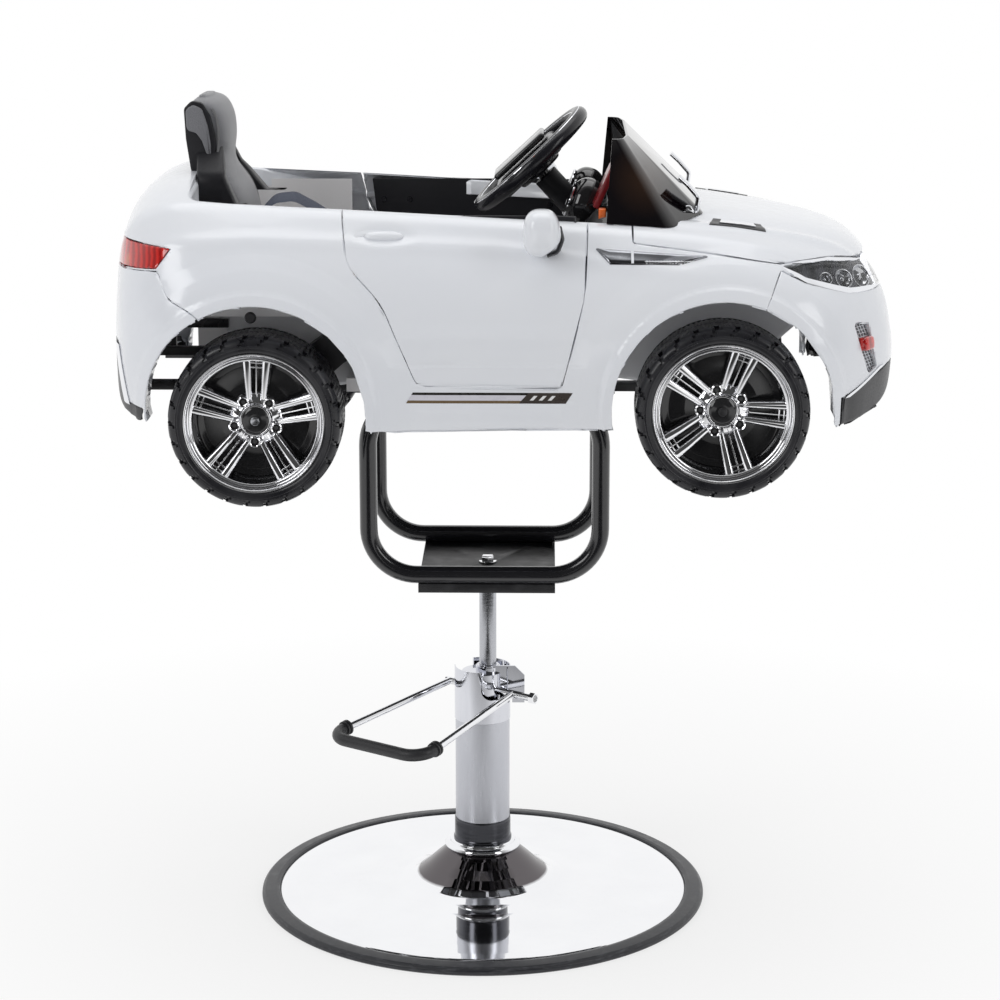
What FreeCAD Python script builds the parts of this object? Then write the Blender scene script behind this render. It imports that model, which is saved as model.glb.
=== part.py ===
import FreeCAD, Part
import math
import os

# A child's salon chair: a ride-on style car bolted in a tube cradle on a hydraulic pump column.
# Sizes are in millimetres. The origin is on the floor at the centre of the round base, +X points
# to the car's nose, +Z up, and -Y is the car's right side.

# Driving dimensions: pedestal
base_radius = 330.0
column_radius = 40.0
column_foot = 84.0
column_top = 351.0
ram_radius = 12.5
ram_x = 8.0
plate_top = 508.0
# Driving dimensions: car body
car_length = 1071.0
car_rear = -501.0
car_half_width = 300.0
car_bottom = 766.0
car_body_height = 320.0
body_wall = 4.0
cockpit_rear = -392.0
cockpit_front = 186.0
cockpit_half = 203.0
floor_level = 800.0
# Driving dimensions: wheels
wheel_radius = 117.5
rim_radius = 95.0
wheel_width = 100.0
wheel_y = 240.0
rear_hub_x = -299.0
rear_hub_z = 774.0
front_hub_x = 329.0
front_hub_z = 789.0
arch_radius = 151.0
axle_radius = 6.0
# Shared fits
seam_gap = 0.8
run_gap = 0.3
over = 20.0
tiny = 0.001


def vec(x, y, z):
    return FreeCAD.Vector(x, y, z)


def in_side(u, v):
    return vec(u, 0, v)


def in_plan(u, v):
    return vec(u, v, 0)


def in_front(u, v):
    return vec(0, u, v)


def corner_arc(before, here, after, radius):
    back = before - here
    ahead = after - here
    back.normalize()
    ahead.normalize()
    half_turn = back.getAngle(ahead) / 2
    reach = radius / math.tan(half_turn)
    inward = back + ahead
    inward.normalize()
    middle = here + inward * (radius / math.sin(half_turn) - radius)
    return here + back * reach, middle, here + ahead * reach


# An outline through points, each corner rounded by its radius, closed unless told otherwise
def rounded_wire(points, radii, place, closed=True):
    spots = [place(*point) for point in points]
    count = len(spots)
    corners = []
    for index, here in enumerate(spots):
        radius = radii[index] if isinstance(radii, (list, tuple)) else radii
        at_end = not closed and index in (0, count - 1)
        if radius == 0 or at_end:
            corners.append((here, here, here))
        else:
            corners.append(corner_arc(spots[index - 1], here, spots[(index + 1) % count], radius))
    edges = []
    for index, (start, middle, end) in enumerate(corners):
        if (end - start).Length > tiny:
            edges.append(Part.Arc(start, middle, end).toShape())
        if not closed and index == count - 1:
            break
        following = corners[(index + 1) % count][0]
        if (following - end).Length > tiny:
            edges.append(Part.makeLine(end, following))
    return Part.Wire(edges)


def side_prism(points, radii, y0, y1):
    face = Part.Face(rounded_wire(points, radii, in_side))
    face.translate(vec(0, y0, 0))
    return face.extrude(vec(0, y1 - y0, 0))


def plan_prism(points, radii, z0, z1):
    face = Part.Face(rounded_wire(points, radii, in_plan))
    face.translate(vec(0, 0, z0))
    return face.extrude(vec(0, 0, z1 - z0))


def front_prism(points, radii, x0, x1):
    face = Part.Face(rounded_wire(points, radii, in_front))
    face.translate(vec(x0, 0, 0))
    return face.extrude(vec(x1 - x0, 0, 0))


def block(x0, x1, y0, y1, z0, z1):
    return Part.makeBox(x1 - x0, y1 - y0, z1 - z0, vec(x0, y0, z0))


def rounded_block(x0, x1, y0, y1, z0, z1, radius):
    points = ((x0, y0), (x1, y0), (x1, y1), (x0, y1))
    return plan_prism(points, radius, z0, z1)


def post(radius, z0, z1, x=0, y=0):
    return Part.makeCylinder(radius, z1 - z0, vec(x, y, z0))


def cross_bar(radius, x, z, y0, y1):
    return Part.makeCylinder(radius, y1 - y0, vec(x, y0, z), vec(0, 1, 0))


def turned(points, radii):
    face = Part.Face(rounded_wire(points, radii, in_side))
    return face.revolve(vec(0, 0, 0), vec(0, 0, 1), 360)


def mirrored(shape):
    return shape.mirror(vec(0, 0, 0), vec(0, 1, 0))


def both_sides(shape):
    return shape.fuse(mirrored(shape))


# A round bar along a path: a cylinder on each straight run and part of a ring on each arc
def swept_bar(path, radius):
    pieces = []
    for edge in path.Edges:
        start = edge.valueAt(edge.FirstParameter)
        along = edge.tangentAt(edge.FirstParameter)
        if isinstance(edge.Curve, Part.Circle):
            ring = Part.Face(Part.Wire([Part.Circle(start, along, radius).toShape()]))
            sweep = math.degrees(edge.LastParameter - edge.FirstParameter)
            pieces.append(ring.revolve(edge.Curve.Center, edge.Curve.Axis, sweep))
        else:
            pieces.append(Part.makeCylinder(radius, edge.Length, start, along))
    return pieces[0].fuse(pieces[1:])


# Pedestal: a heavy steel plate under a chromed pressing, edged by a rubber trim ring
base_plate_height = 6.0
trim_width = 26.0
trim_height = 12.0
pan_sheet = 2.0
pan_edge_rise = 9.0
bell_foot_radius = 95.0
bell_foot_rise = 32.0
bell_waist_radius = 62.0
bell_top_radius = 47.0
bell_top = 70.0
flange_radius = 55.5
flange_edge = 4.0
pump_bolt_circle = 75.0
pump_bolt_radius = 6.0
pump_bolt_height = 7.0
pump_bolts = 4


def base_plate():
    plate = post(base_radius - trim_width - run_gap, 0, base_plate_height)
    plate = plate.cut(post(pump_radius + run_gap, -over, base_plate_height + over))
    for turn in range(pump_bolts):
        angle = 2 * math.pi * turn / pump_bolts + math.pi / pump_bolts
        x = pump_bolt_circle * math.cos(angle)
        y = pump_bolt_circle * math.sin(angle)
        bolt = post(pump_bolt_radius, base_plate_height, base_plate_height + pump_bolt_height, x, y)
        plate = plate.fuse(bolt)
    return plate


# The pan's skin: a shallow dome that sweeps up into the bell under the column
def pan_line(offset):
    edge = base_radius - trim_width
    return (
        (edge, pan_edge_rise - offset),
        (bell_foot_radius, bell_foot_rise - offset),
        (bell_waist_radius - offset, (bell_foot_rise + bell_top) / 2 - offset),
        (bell_top_radius - offset, bell_top),
    )


def base_pan():
    outer = pan_line(0)
    inner = pan_line(pan_sheet)
    points = outer + tuple(reversed(inner))
    radii = (0, bell_waist_radius, bell_foot_rise, 0, 0, 0, 0, 0)
    return turned(points, radii)


def base_rim_ring():
    inner = base_radius - trim_width
    edge = trim_height / 3
    points = (
        (inner, 0), (base_radius, 0), (base_radius, trim_height - edge),
        (base_radius - edge, trim_height), (inner, trim_height),
    )
    return turned(points, 0)


def base_flange():
    inner = pump_radius + run_gap
    neck = bell_top_radius
    points = (
        (inner, bell_top),
        (neck, bell_top),
        (flange_radius, bell_top + flange_edge / 2),
        (flange_radius, column_foot - flange_edge),
        (neck, column_foot),
        (inner, column_foot),
    )
    return turned(points, 0)


# Pump column: dark foot collar, two cover tubes and the pump inside them
collar_height = 34.0
sleeve_sheet = 1.6
sleeve_seam = 272.0
pump_radius = 30.0
gland_radius = 18.0
gland_height = 8.0
gland_lip = 2.0
notch_depth_front = 43.0
notch_depth_rear = 40.0
notch_width = 44.0
notch_round_share = 0.7
notch_front_turn = 31.0
notch_rear_turn = -126.0
rivet_radius = 3.0
rivet_height = 1.2
ear_reach = 62.0
ear_sheet = 3.0
ear_low = 298.0
ear_high = 354.0
ear_chamfer = 14.0
ear_slot = 9.0
ear_y = -14.0


def pump_collar():
    top = column_foot + collar_height
    points = (
        (column_radius - sleeve_sheet, column_foot),
        (column_radius + 2 * rivet_height, column_foot),
        (column_radius + rivet_height, top),
        (column_radius - sleeve_sheet, top),
    )
    return turned(points, 0)


def sleeve_tube(z0, z1, outer):
    return post(outer, z0, z1).cut(post(outer - sleeve_sheet, z0 - over, z1 + over))


def sleeve_lower():
    return sleeve_tube(column_foot + collar_height, sleeve_seam, column_radius)


# A U-shaped notch from the top of the upper cover, turned about the column from the -Y side
def sleeve_notch(turn, depth):
    low = column_top - depth
    half = notch_width / 2
    points = ((-half, low), (half, low), (half, column_top + over), (-half, column_top + over))
    face = Part.Face(rounded_wire(points, (half * notch_round_share,) * 2 + (0, 0), in_side))
    notch = face.extrude(vec(0, -column_radius - over, 0))
    notch.rotate(vec(0, 0, 0), vec(0, 0, 1), turn)
    return notch


def sleeve_upper():
    tube = sleeve_tube(sleeve_seam, column_top, column_radius + rivet_height)
    tube = tube.cut(sleeve_notch(notch_front_turn, notch_depth_front))
    tube = tube.cut(sleeve_notch(notch_rear_turn, notch_depth_rear))
    slot_edge = column_radius - 2 * ear_sheet
    slot = block(slot_edge, ear_reach, ear_y - ear_sheet, ear_y + 2 * ear_sheet, ear_low, column_top + over)
    tube = tube.cut(slot)
    rivet_foot = sleeve_sheet / 2 - column_radius - rivet_height
    rivet_level = sleeve_seam + 3 * rivet_radius
    rivet = cross_bar(rivet_radius, 0, rivet_level, rivet_foot - 2 * rivet_height, rivet_foot)
    return tube.fuse(rivet)


def pump_body():
    body = post(pump_radius, 0, column_top - gland_height)
    body = body.fuse(post(gland_radius, column_top - 2 * gland_height, column_top, ram_x))
    lip = post(gland_radius - gland_lip, column_top - tiny, column_top + gland_lip, ram_x)
    body = body.fuse(lip)
    points = (
        (pump_radius / 2, ear_low + 2 * ear_slot),
        (ear_reach - 2 * ear_slot, ear_low + 2 * ear_slot),
        (ear_reach - 2 * ear_slot, ear_low),
        (ear_reach, ear_low),
        (ear_reach, ear_high - ear_chamfer),
        (ear_reach - ear_chamfer, ear_high),
        (pump_radius / 2, ear_high),
    )
    ear = side_prism(points, 0, ear_y, ear_y + ear_sheet)
    slot_rear = ear_reach - ear_slot
    slot_low = ear_low + ear_slot / 2
    slot = block(slot_rear, slot_rear + ear_slot / 2, ear_y - over, ear_y + over, slot_low, ear_low + ear_slot)
    ear = ear.cut(slot)
    body = body.fuse(ear)
    body = body.cut(lever_pin_hole(lever_rod_radius + run_gap))
    bore_foot = ram_foot - ram_travel - gland_lip
    bore = post(ram_radius + run_gap, bore_foot, column_top + over, ram_x)
    return body.cut(bore)


# Foot lever: a chromed rod bent in a U round the column, on a pin through the pump
lever_rod_radius = 5.5
lever_heading = 235.0
lever_pin_out = 4.0
lever_pin_z = 318.0
lever_reach = 254.0
lever_half_pin = 57.0
lever_half_bar = 84.0
lever_drop = 5.5
lever_bend = 30.0
lever_pin_past = 6.0
lever_pin_inner = 20.0
lever_stub = 41.0
lever_nut_radius = 8.5
lever_nut_width = 8.0
grip_radius = 10.0
grip_collar_radius = 12.0
grip_collar_width = 7.0


# From the lever's own frame, pin along Y and arms along +X, to its place on the pump
def seat_lever(shape):
    shape.rotate(vec(0, 0, 0), vec(0, 1, 0), lever_drop)
    shape.translate(vec(lever_pin_out, 0, lever_pin_z))
    shape.rotate(vec(0, 0, 0), vec(0, 0, 1), lever_heading)
    return shape


def lever_path():
    points = (
        (0, lever_half_pin),
        (lever_reach, lever_half_bar),
        (lever_reach, -lever_half_bar),
        (0, -lever_half_pin),
    )
    return rounded_wire(points, lever_bend, in_plan, closed=False)


def lever_rod():
    rod = swept_bar(lever_path(), lever_rod_radius)
    near_end = lever_half_pin + lever_stub
    rod = rod.fuse(cross_bar(lever_rod_radius, 0, 0, lever_pin_inner, near_end))
    rod = rod.fuse(cross_bar(lever_rod_radius, 0, 0, -lever_half_pin - lever_pin_past, -lever_pin_inner))
    nut = cross_bar(lever_nut_radius, 0, 0, near_end - 2 * lever_nut_width, near_end - lever_nut_width)
    return seat_lever(rod.fuse(nut))


# The rubber grip covers the bar and both bends, with a thicker collar at each end
def lever_grip():
    edges = lever_path().Edges
    bends = Part.Wire(edges[1:4])
    grip = swept_bar(bends, grip_radius)
    for edge, at_start in ((edges[1], True), (edges[3], False)):
        spot = edge.FirstParameter if at_start else edge.LastParameter
        centre = edge.valueAt(spot)
        along = edge.tangentAt(spot) * (-1 if at_start else 1)
        grip = grip.fuse(Part.makeCylinder(grip_collar_radius, grip_collar_width, centre, along))
    rod = swept_bar(lever_path(), lever_rod_radius)
    return seat_lever(grip.cut(rod))


# The holes that the lever's two pins turn in, one from each side of the pump
def lever_pin_hole(radius):
    far_end = pump_radius + over
    near = cross_bar(radius, 0, 0, lever_pin_inner - run_gap, far_end)
    far = cross_bar(radius, 0, 0, -far_end, run_gap - lever_pin_inner)
    return seat_lever(near.fuse(far))


# Ram: the polished rod that lifts the cradle, with a spigot that the swivel turns on
ram_foot = 150.0
ram_travel = 120.0
ram_top = 481.0
spigot_radius = 9.0
spigot_top = 503.5
bolt_head_radius = 10.0
bolt_head_height = 9.0
bolt_washer_radius = 13.0
bolt_washer_height = 1.5
bolt_shank_radius = 5.0
bolt_depth = 30.0
hub_radius = 18.0


def ram():
    rod = post(ram_radius, ram_foot, ram_top, ram_x)
    rod = rod.fuse(post(spigot_radius, ram_top, spigot_top, ram_x))
    return rod.cut(post(bolt_shank_radius, spigot_top - bolt_depth, spigot_top + over, ram_x))


def swivel_bolt():
    seat = plate_top + run_gap
    bolt = post(bolt_washer_radius, seat, seat + bolt_washer_height, ram_x)
    head_low = seat + bolt_washer_height
    points = []
    for turn in range(6):
        angle = math.pi * turn / 3
        along = bolt_head_radius * math.cos(angle)
        points.append((ram_x + along, bolt_head_radius * math.sin(angle)))
    bolt = bolt.fuse(plan_prism(points, 0, head_low, head_low + bolt_head_height))
    return bolt.fuse(post(bolt_shank_radius, spigot_top - bolt_depth, head_low, ram_x))


# Cradle: a pressed plate on the swivel, and a tube loop at each side that carries the car
plate_sheet = 4.0
plate_rear = -88.0
plate_front = 106.0
plate_half = 150.0
plate_lip = 9.0
loop_radius = 12.5
loop_y = 118.0
loop_rear = -170.0
loop_front = 182.0
loop_bottom = 508.0
loop_top = 788.0
loop_bend = 68.0


def swivel_hub():
    top = plate_top - plate_sheet
    points = (
        (spigot_radius + run_gap, ram_top + run_gap),
        (hub_radius - ear_sheet, ram_top + run_gap),
        (hub_radius, ram_top + ear_sheet),
        (hub_radius, top),
        (spigot_radius + run_gap, top),
    )
    hub = turned(points, 0)
    hub.translate(vec(ram_x, 0, 0))
    return hub


def cradle_plate():
    low = plate_top - plate_sheet
    plate = block(plate_rear, plate_front, -plate_half, plate_half, low, plate_top)
    for end in (plate_rear, plate_front - plate_sheet):
        plate = plate.fuse(block(end, end + plate_sheet, -plate_half, plate_half, low - plate_lip, plate_top))
    for side in (-plate_half, plate_half - plate_sheet):
        plate = plate.fuse(block(plate_rear, plate_front, side, side + plate_sheet, low - plate_lip, plate_top))
    return plate.cut(post(spigot_radius + run_gap, low - over, plate_top + over, ram_x))


def loop_right():
    rear = loop_rear + loop_radius
    front = loop_front - loop_radius
    low = loop_bottom + loop_radius
    high = loop_top - loop_radius
    middle = (rear + front) / 2
    points = ((middle, low), (front, low), (front, high), (rear, high), (rear, low))
    path = rounded_wire(points, (0, loop_bend, loop_bend, loop_bend, loop_bend), in_side)
    path.translate(vec(0, -loop_y, 0))
    return swept_bar(path, loop_radius)


def loop_left():
    return mirrored(loop_right())


# Car body: one blown shell with stations along its length, cut into panels
# Each row: place along the length, then half width, foot height, belt height, belt half width, crown
body_station_shares = (
    (0.000, 0.50, 0.120, 0.520, 0.400, 0.580),
    (0.010, 0.65, 0.060, 0.684, 0.550, 0.770),
    (0.034, 0.817, 0.028, 0.840, 0.667, 0.925),
    (0.076, 0.933, 0.020, 0.906, 0.707, 0.996),
    (0.150, 0.987, 0.012, 0.909, 0.700, 0.990),
    (0.281, 0.973, 0.000, 0.8875, 0.710, 0.950),
    (0.449, 0.960, 0.000, 0.856, 0.717, 0.920),
    (0.608, 0.967, 0.012, 0.825, 0.750, 0.888),
    (0.738, 0.993, 0.019, 0.794, 0.760, 0.872),
    (0.841, 0.987, 0.019, 0.740, 0.740, 0.825),
    (0.916, 0.907, 0.019, 0.675, 0.667, 0.772),
    (0.963, 0.717, 0.0375, 0.590, 0.533, 0.684),
    (0.991, 0.533, 0.100, 0.466, 0.383, 0.528),
    (1.000, 0.400, 0.190, 0.356, 0.283, 0.400),
)
sill_width_share = 0.955
waist_height_share = 0.40
chest_height_share = 0.80
chest_width_share = 0.62
crown_width_share = 0.60
crown_rise_share = 0.75


def spline(points):
    curve = Part.BSplineCurve()
    curve.interpolate(points)
    return curve.toShape()


def body_section(shares, inset):
    run, half, foot, belt, belt_half, crown = shares
    middle = car_rear + car_length / 2
    x = middle + (car_rear + car_length * run - middle) * (1 - 2 * inset / car_length)
    widest = half * car_half_width - inset
    narrow = belt_half * car_half_width - inset
    low = car_bottom + foot * car_body_height
    belt_z = car_bottom + belt * car_body_height - inset
    crown_z = car_bottom + crown * car_body_height - inset
    rise = belt_z - low
    chest = narrow + (widest - narrow) * chest_width_share
    right = [
        vec(x, -widest * sill_width_share, low - (over if inset else 0)),
        vec(x, -widest, low + rise * waist_height_share),
        vec(x, -chest, low + rise * chest_height_share),
        vec(x, -narrow, belt_z),
    ]
    left = [vec(spot.x, -spot.y, spot.z) for spot in right]
    shoulder_z = belt_z + (crown_z - belt_z) * crown_rise_share
    shoulder = narrow * crown_width_share
    top = [right[-1], vec(x, -shoulder, shoulder_z), vec(x, 0, crown_z), vec(x, shoulder, shoulder_z), left[-1]]
    return Part.Wire([
        spline(right),
        spline(top),
        spline(list(reversed(left))),
        Part.makeLine(left[0], right[0]),
    ])


def body_form(inset):
    sections = [body_section(shares, inset) for shares in body_station_shares]
    return Part.makeLoft(sections, True, False)


# Places on the body are shares of its length and of its height
def body_spots(shares):
    spots = []
    for run, rise in shares:
        spots.append((car_rear + car_length * run, car_bottom + car_body_height * rise))
    return spots


# Panel outlines seen from the side, as shares along the length and up the height
door_shares = (
    (0.2866, 1.075), (0.3053, 0.684), (0.3483, 0.5375), (0.3931, 0.1875),
    (0.5733, 0.181), (0.6013, 0.550), (0.6088, 1.075),
)
bonnet_shares = (
    (0.6611, 1.200), (0.6611, 0.769), (0.7507, 0.734), (0.8385, 0.685),
    (0.9066, 0.694), (0.9552, 0.666), (1.0467, 0.6125), (1.0467, 1.200),
)
front_bumper_shares = (
    (0.8226, 0.497), (0.8450, 0.6625), (0.8749, 0.6125), (0.9346, 0.556),
    (0.9795, 0.5375), (1.0467, 0.5375), (1.0467, -0.206), (0.8226, -0.206),
)
headlamp_shares = (
    (0.8460, 0.676), (0.8749, 0.620), (0.9346, 0.562), (0.9795, 0.544),
    (1.0467, 0.544), (1.0467, 0.606), (0.9552, 0.659), (0.9066, 0.687),
)
skid_shares = (
    (0.9234, 0.131), (0.9907, 0.219), (1.0467, 0.219), (1.0467, -0.206), (0.9234, -0.206),
)
fog_lamp_shares = ((0.9393, 0.434), (0.9589, 0.425), (0.9729, 0.225), (0.9617, 0.206))
tail_lamp_shares = ((-0.0177, 0.780), (0.0868, 0.750), (0.0682, 0.6656), (-0.0177, 0.644))
rear_bumper_shares = (
    (-0.0364, 0.6375), (0.0700, 0.656), (0.0822, 0.550),
    (0.1270, 0.475), (0.1270, -0.206), (-0.0364, -0.206),
)
diffuser_shares = (
    (-0.0364, 0.331), (0.0075, 0.319), (0.0215, 0.081),
    (0.0458, 0.069), (0.0458, -0.206), (-0.0364, -0.206),
)
side_trim_shares = ((0.6172, 0.747), (0.7507, 0.720), (0.7200, 0.6875), (0.6340, 0.6875))
handle_shares = ((0.3230, 0.815), (0.3790, 0.815), (0.3740, 0.775), (0.3280, 0.775))

door_rear_bend = 40.0
door_wheel_bend = 110.0
door_foot_bend = 16.0
door_front_bend = 60.0
door_bends = (0, door_rear_bend, door_wheel_bend, door_foot_bend, door_foot_bend / 2, door_front_bend, 0)
panel_bend = 4.0
lamp_depth = 16.0
lamp_inner_y = 108.0
tail_inner_y = 116.0
skid_sheet = 7.0
trim_sheet = 1.6
handle_sheet = 5.0
far_out = 400.0


def panel_face(shares, bends, shrink=0):
    face = Part.Face(rounded_wire(body_spots(shares), bends, in_side))
    return face.makeOffset2D(-shrink) if shrink else face


def face_prism(face, y0, y1):
    moved = face.copy()
    moved.translate(vec(0, y0, 0))
    return moved.extrude(vec(0, y1 - y0, 0))


def panel_prism(shares, bends, shrink=0, y0=-far_out, y1=far_out):
    return face_prism(panel_face(shares, bends, shrink), y0, y1)


# Wheel arches: the opening, and the flange that turns in from its edge
rear_arch_rise = 11.0
front_arch_rise = 3.0
arch_flange_sheet = 3.5
arch_flange_y = 240.0
arches = (
    (rear_hub_x, rear_hub_z + rear_arch_rise),
    (front_hub_x, front_hub_z + front_arch_rise),
)


def arch_cuts():
    cuts = []
    for x, z in arches:
        cuts.append(cross_bar(arch_radius, x, z, -far_out, far_out))
    return cuts


def arch_flanges(form):
    flanges = []
    for x, z in arches:
        ring = cross_bar(arch_radius + arch_flange_sheet, x, z, -far_out, -arch_flange_y)
        ring = ring.cut(cross_bar(arch_radius, x, z, -far_out, -arch_flange_y))
        ring = ring.common(form)
        flanges.append(ring)
        flanges.append(mirrored(ring))
    return flanges


# Door frame: a lining behind the door's gap and a boxed rocker under it
jamb_sheet = 3.0
rocker_sheet = 4.0
rocker_inner_y = 136.0
cockpit_bend = 24.0


def door_jamb(form):
    ring = panel_face(door_shares, door_bends, -jamb_sheet - tiny)
    opening = panel_face(door_shares, door_bends)
    lining = face_prism(ring, -far_out, -cockpit_half).cut(face_prism(opening, -far_out, -cockpit_half))
    return lining.common(form)


def rocker_floor(form):
    rear = rear_hub_x + arch_radius
    front = front_hub_x - arch_radius
    low = car_bottom + body_wall
    strip = block(rear, front, -far_out, -rocker_inner_y, low, low + rocker_sheet)
    return strip.common(form)


def cockpit_cut():
    points = (
        (cockpit_rear, -cockpit_half),
        (cockpit_front, -cockpit_half),
        (cockpit_front, cockpit_half),
        (cockpit_rear, cockpit_half),
    )
    bends = (cockpit_bend, 0, 0, cockpit_bend)
    return plan_prism(points, bends, floor_level, car_bottom + car_body_height + over)


# The white shell before it is parted into panels
def whole_shell(form):
    shell = form.cut(body_form(body_wall))
    additions = arch_flanges(form)
    for lining in (door_jamb(form), rocker_floor(form)):
        additions.append(lining)
        additions.append(mirrored(lining))
    shell = shell.fuse(additions)
    return shell.cut([cockpit_cut()] + arch_cuts())


grille_half = 105.0
grille_low = 892.0
grille_high = 978.0
grille_back = 500.0
grille_depth = 12.0
grille_low_inset = 5.0
grille_high_inset = 40.0
grille_bar = 4.0
grille_columns = 9
grille_rows = 4


def grille_box(grow):
    front = car_rear + car_length + over
    half = grille_half + grow
    return block(grille_back - grow, front, -half, half, grille_low - grow, grille_high + grow)


def lamp_prism(shares, inner_y, shrink=0):
    return panel_prism(shares, panel_bend / 2 if shrink else 0, shrink, -far_out, -inner_y - shrink)


def body_shell(shell):
    body = shell.cut([
        both_sides(panel_prism(door_shares, door_bends, 0, -far_out, -cockpit_half)),
        panel_prism(bonnet_shares, 0),
        panel_prism(front_bumper_shares, 0),
        panel_prism(rear_bumper_shares, 0),
        panel_prism(headlamp_shares, 0),
        both_sides(lamp_prism(tail_lamp_shares, tail_inner_y)),
        grille_box(seam_gap),
    ])
    return largest(body)


# A cut can leave loose crumbs, and the panel is its largest solid
def largest(shape):
    return max(shape.Solids, key=lambda solid: solid.Volume)


def bonnet(shell):
    panel = shell.common(panel_prism(bonnet_shares, 0, seam_gap))
    return largest(panel.cut(grille_box(seam_gap)))


def front_bumper(shell):
    panel = shell.common(panel_prism(front_bumper_shares, 0, seam_gap))
    fog = both_sides(panel_prism(fog_lamp_shares, 0, 0, -far_out, -lamp_inner_y))
    return largest(panel.cut([grille_box(seam_gap), panel_prism(skid_shares, 0), fog]))


def front_skid(form):
    band = form.cut(body_form(skid_sheet))
    return largest(band.common(panel_prism(skid_shares, 0, seam_gap)))


def rear_bumper(shell):
    panel = shell.common(panel_prism(rear_bumper_shares, 0, seam_gap))
    return largest(panel.cut(panel_prism(diffuser_shares, 0)))


def rear_diffuser(form):
    band = form.cut(body_form(skid_sheet))
    return largest(band.common(panel_prism(diffuser_shares, 0, seam_gap)))


# Lamps fill their cut-outs as thick curved lenses that follow the body's skin
def lamp_band(form):
    return form.cut(body_form(lamp_depth))


def headlamp_right(band):
    return largest(band.common(lamp_prism(headlamp_shares, lamp_inner_y, seam_gap)))


def tail_lamp_right(band):
    return largest(band.common(lamp_prism(tail_lamp_shares, tail_inner_y, seam_gap)))


def fog_lamps(band):
    right = largest(band.common(lamp_prism(fog_lamp_shares, lamp_inner_y, seam_gap)))
    return Part.makeCompound([right, mirrored(right)])


# Nose grille: a flat frame that leans back with the nose, with a pattern of openings
def grille():
    nose = car_rear + car_length
    low_x = nose - grille_low_inset
    high_x = nose - grille_high_inset
    outline = (
        (low_x, grille_low), (high_x, grille_high),
        (high_x - grille_depth, grille_high), (low_x - grille_depth, grille_low),
    )
    plate = side_prism(outline, 0, -grille_half, grille_half)
    step_y = 2 * grille_half / grille_columns
    step_z = (grille_high - grille_low) / grille_rows
    holes = []
    for column in range(grille_columns):
        for row in range(grille_rows):
            y0 = -grille_half + column * step_y + grille_bar / 2
            z0 = grille_low + row * step_z + grille_bar / 2
            y1 = y0 + step_y - grille_bar
            z1 = z0 + step_z - grille_bar
            holes.append(block(grille_back - over, grille_back + far_out, y0, y1, z0, z1))
    return plate.cut(holes)


# Fender blades and bonnet vents are thin mouldings that lie on the skin
vent_shares = ((0.762, -0.44), (0.832, -0.40), (0.828, -0.25), (0.768, -0.28))


def outer_layer(form, sheet):
    return body_form(-sheet).cut(form)


def side_trims(form):
    layer = outer_layer(form, trim_sheet)
    right = largest(layer.common(panel_prism(side_trim_shares, panel_bend, 0, -far_out, 0)))
    return Part.makeCompound([right, mirrored(right)])


def bonnet_vents(form):
    layer = outer_layer(form, trim_sheet)
    points = []
    for run, across in vent_shares:
        points.append((car_rear + car_length * run, car_half_width * across))
    high = car_bottom + car_body_height
    right = largest(layer.common(plan_prism(points, panel_bend, high - car_body_height / 2, high + over)))
    return Part.makeCompound([right, mirrored(right)])


# Doors hang at their front edge, with a wider gap and a rear edge cleared for the swing
door_gap = 1.7
hinge_x = 146.0
hinge_y = -280.0
belt_outer_y = -222.0


def door_sweep():
    rear_x = body_spots(door_shares)[0][0]
    reach = math.hypot(hinge_x - rear_x, belt_outer_y - hinge_y)
    return post(reach, car_bottom, car_bottom + car_body_height + over, hinge_x, hinge_y)


def door_right(shell, form):
    panel = shell.common(panel_prism(door_shares, door_bends, door_gap, -far_out, -cockpit_half))
    skin = largest(panel.common(door_sweep()))
    handle = outer_layer(form, handle_sheet)
    handle = largest(handle.common(panel_prism(handle_shares, panel_bend, 0, -far_out, 0)))
    return skin.fuse(handle)


card_inset = 14.5
card_sheet = 4.0
card_rim = 3.0
card_top_gap = 6.0
door_top_share = 0.85
armrest_shares = ((0.375, 0.62), (0.575, 0.62), (0.570, 0.50), (0.400, 0.50))
armrest_depth = 16.0


def door_card_right():
    inner_form = body_form(body_wall + run_gap)
    outline = panel_face(door_shares, door_bends, card_inset)
    hollow = panel_face(door_shares, door_bends, card_inset + card_rim)
    top = car_bottom + car_body_height * door_top_share - card_top_gap
    tray = face_prism(outline, -far_out, -cockpit_half + card_sheet)
    tray = tray.cut(face_prism(hollow, -far_out, -cockpit_half))
    tray = tray.common(inner_form)
    tray = tray.cut(block(-far_out, far_out, -far_out, 0, top, top + far_out))
    inner_y = -cockpit_half
    armrest = panel_prism(armrest_shares, 2 * panel_bend, 0, inner_y + card_sheet, inner_y + armrest_depth)
    return largest(tray.fuse(armrest))


# Cockpit tub: floor, foot well and inner side walls in one moulding, open at the doors
tub_sheet = 3.0
tub_low_half = 118.0
tub_step = 905.0
tub_wall_share = 0.8625
tub_wall_top = car_bottom + car_body_height * tub_wall_share
firewall_drop = 12.0
seat_zone_front = -160.0


def tub_shape(inset, lift):
    half = cockpit_half - run_gap - inset
    low_half = tub_low_half - inset
    rear = cockpit_rear + run_gap + inset
    front = cockpit_front - run_gap - inset
    wall_front = tub_wall_front() + lift
    top = tub_wall_top + lift
    bend = cockpit_bend - inset
    corners = ((rear, -half), (wall_front, -half), (wall_front, half), (rear, half))
    upper = plan_prism(corners, (bend, 0, 0, bend), tub_step + inset, top)
    lower = block(rear, seat_zone_front, -low_half, low_half, floor_level + inset, tub_step + over)
    well = block(seat_zone_front - over, front, -half, half, floor_level + inset, floor_level + over + lift)
    return upper.fuse([lower, well])


def tub_wall_front():
    return body_spots(door_shares)[0][0] - jamb_sheet - run_gap


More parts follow.
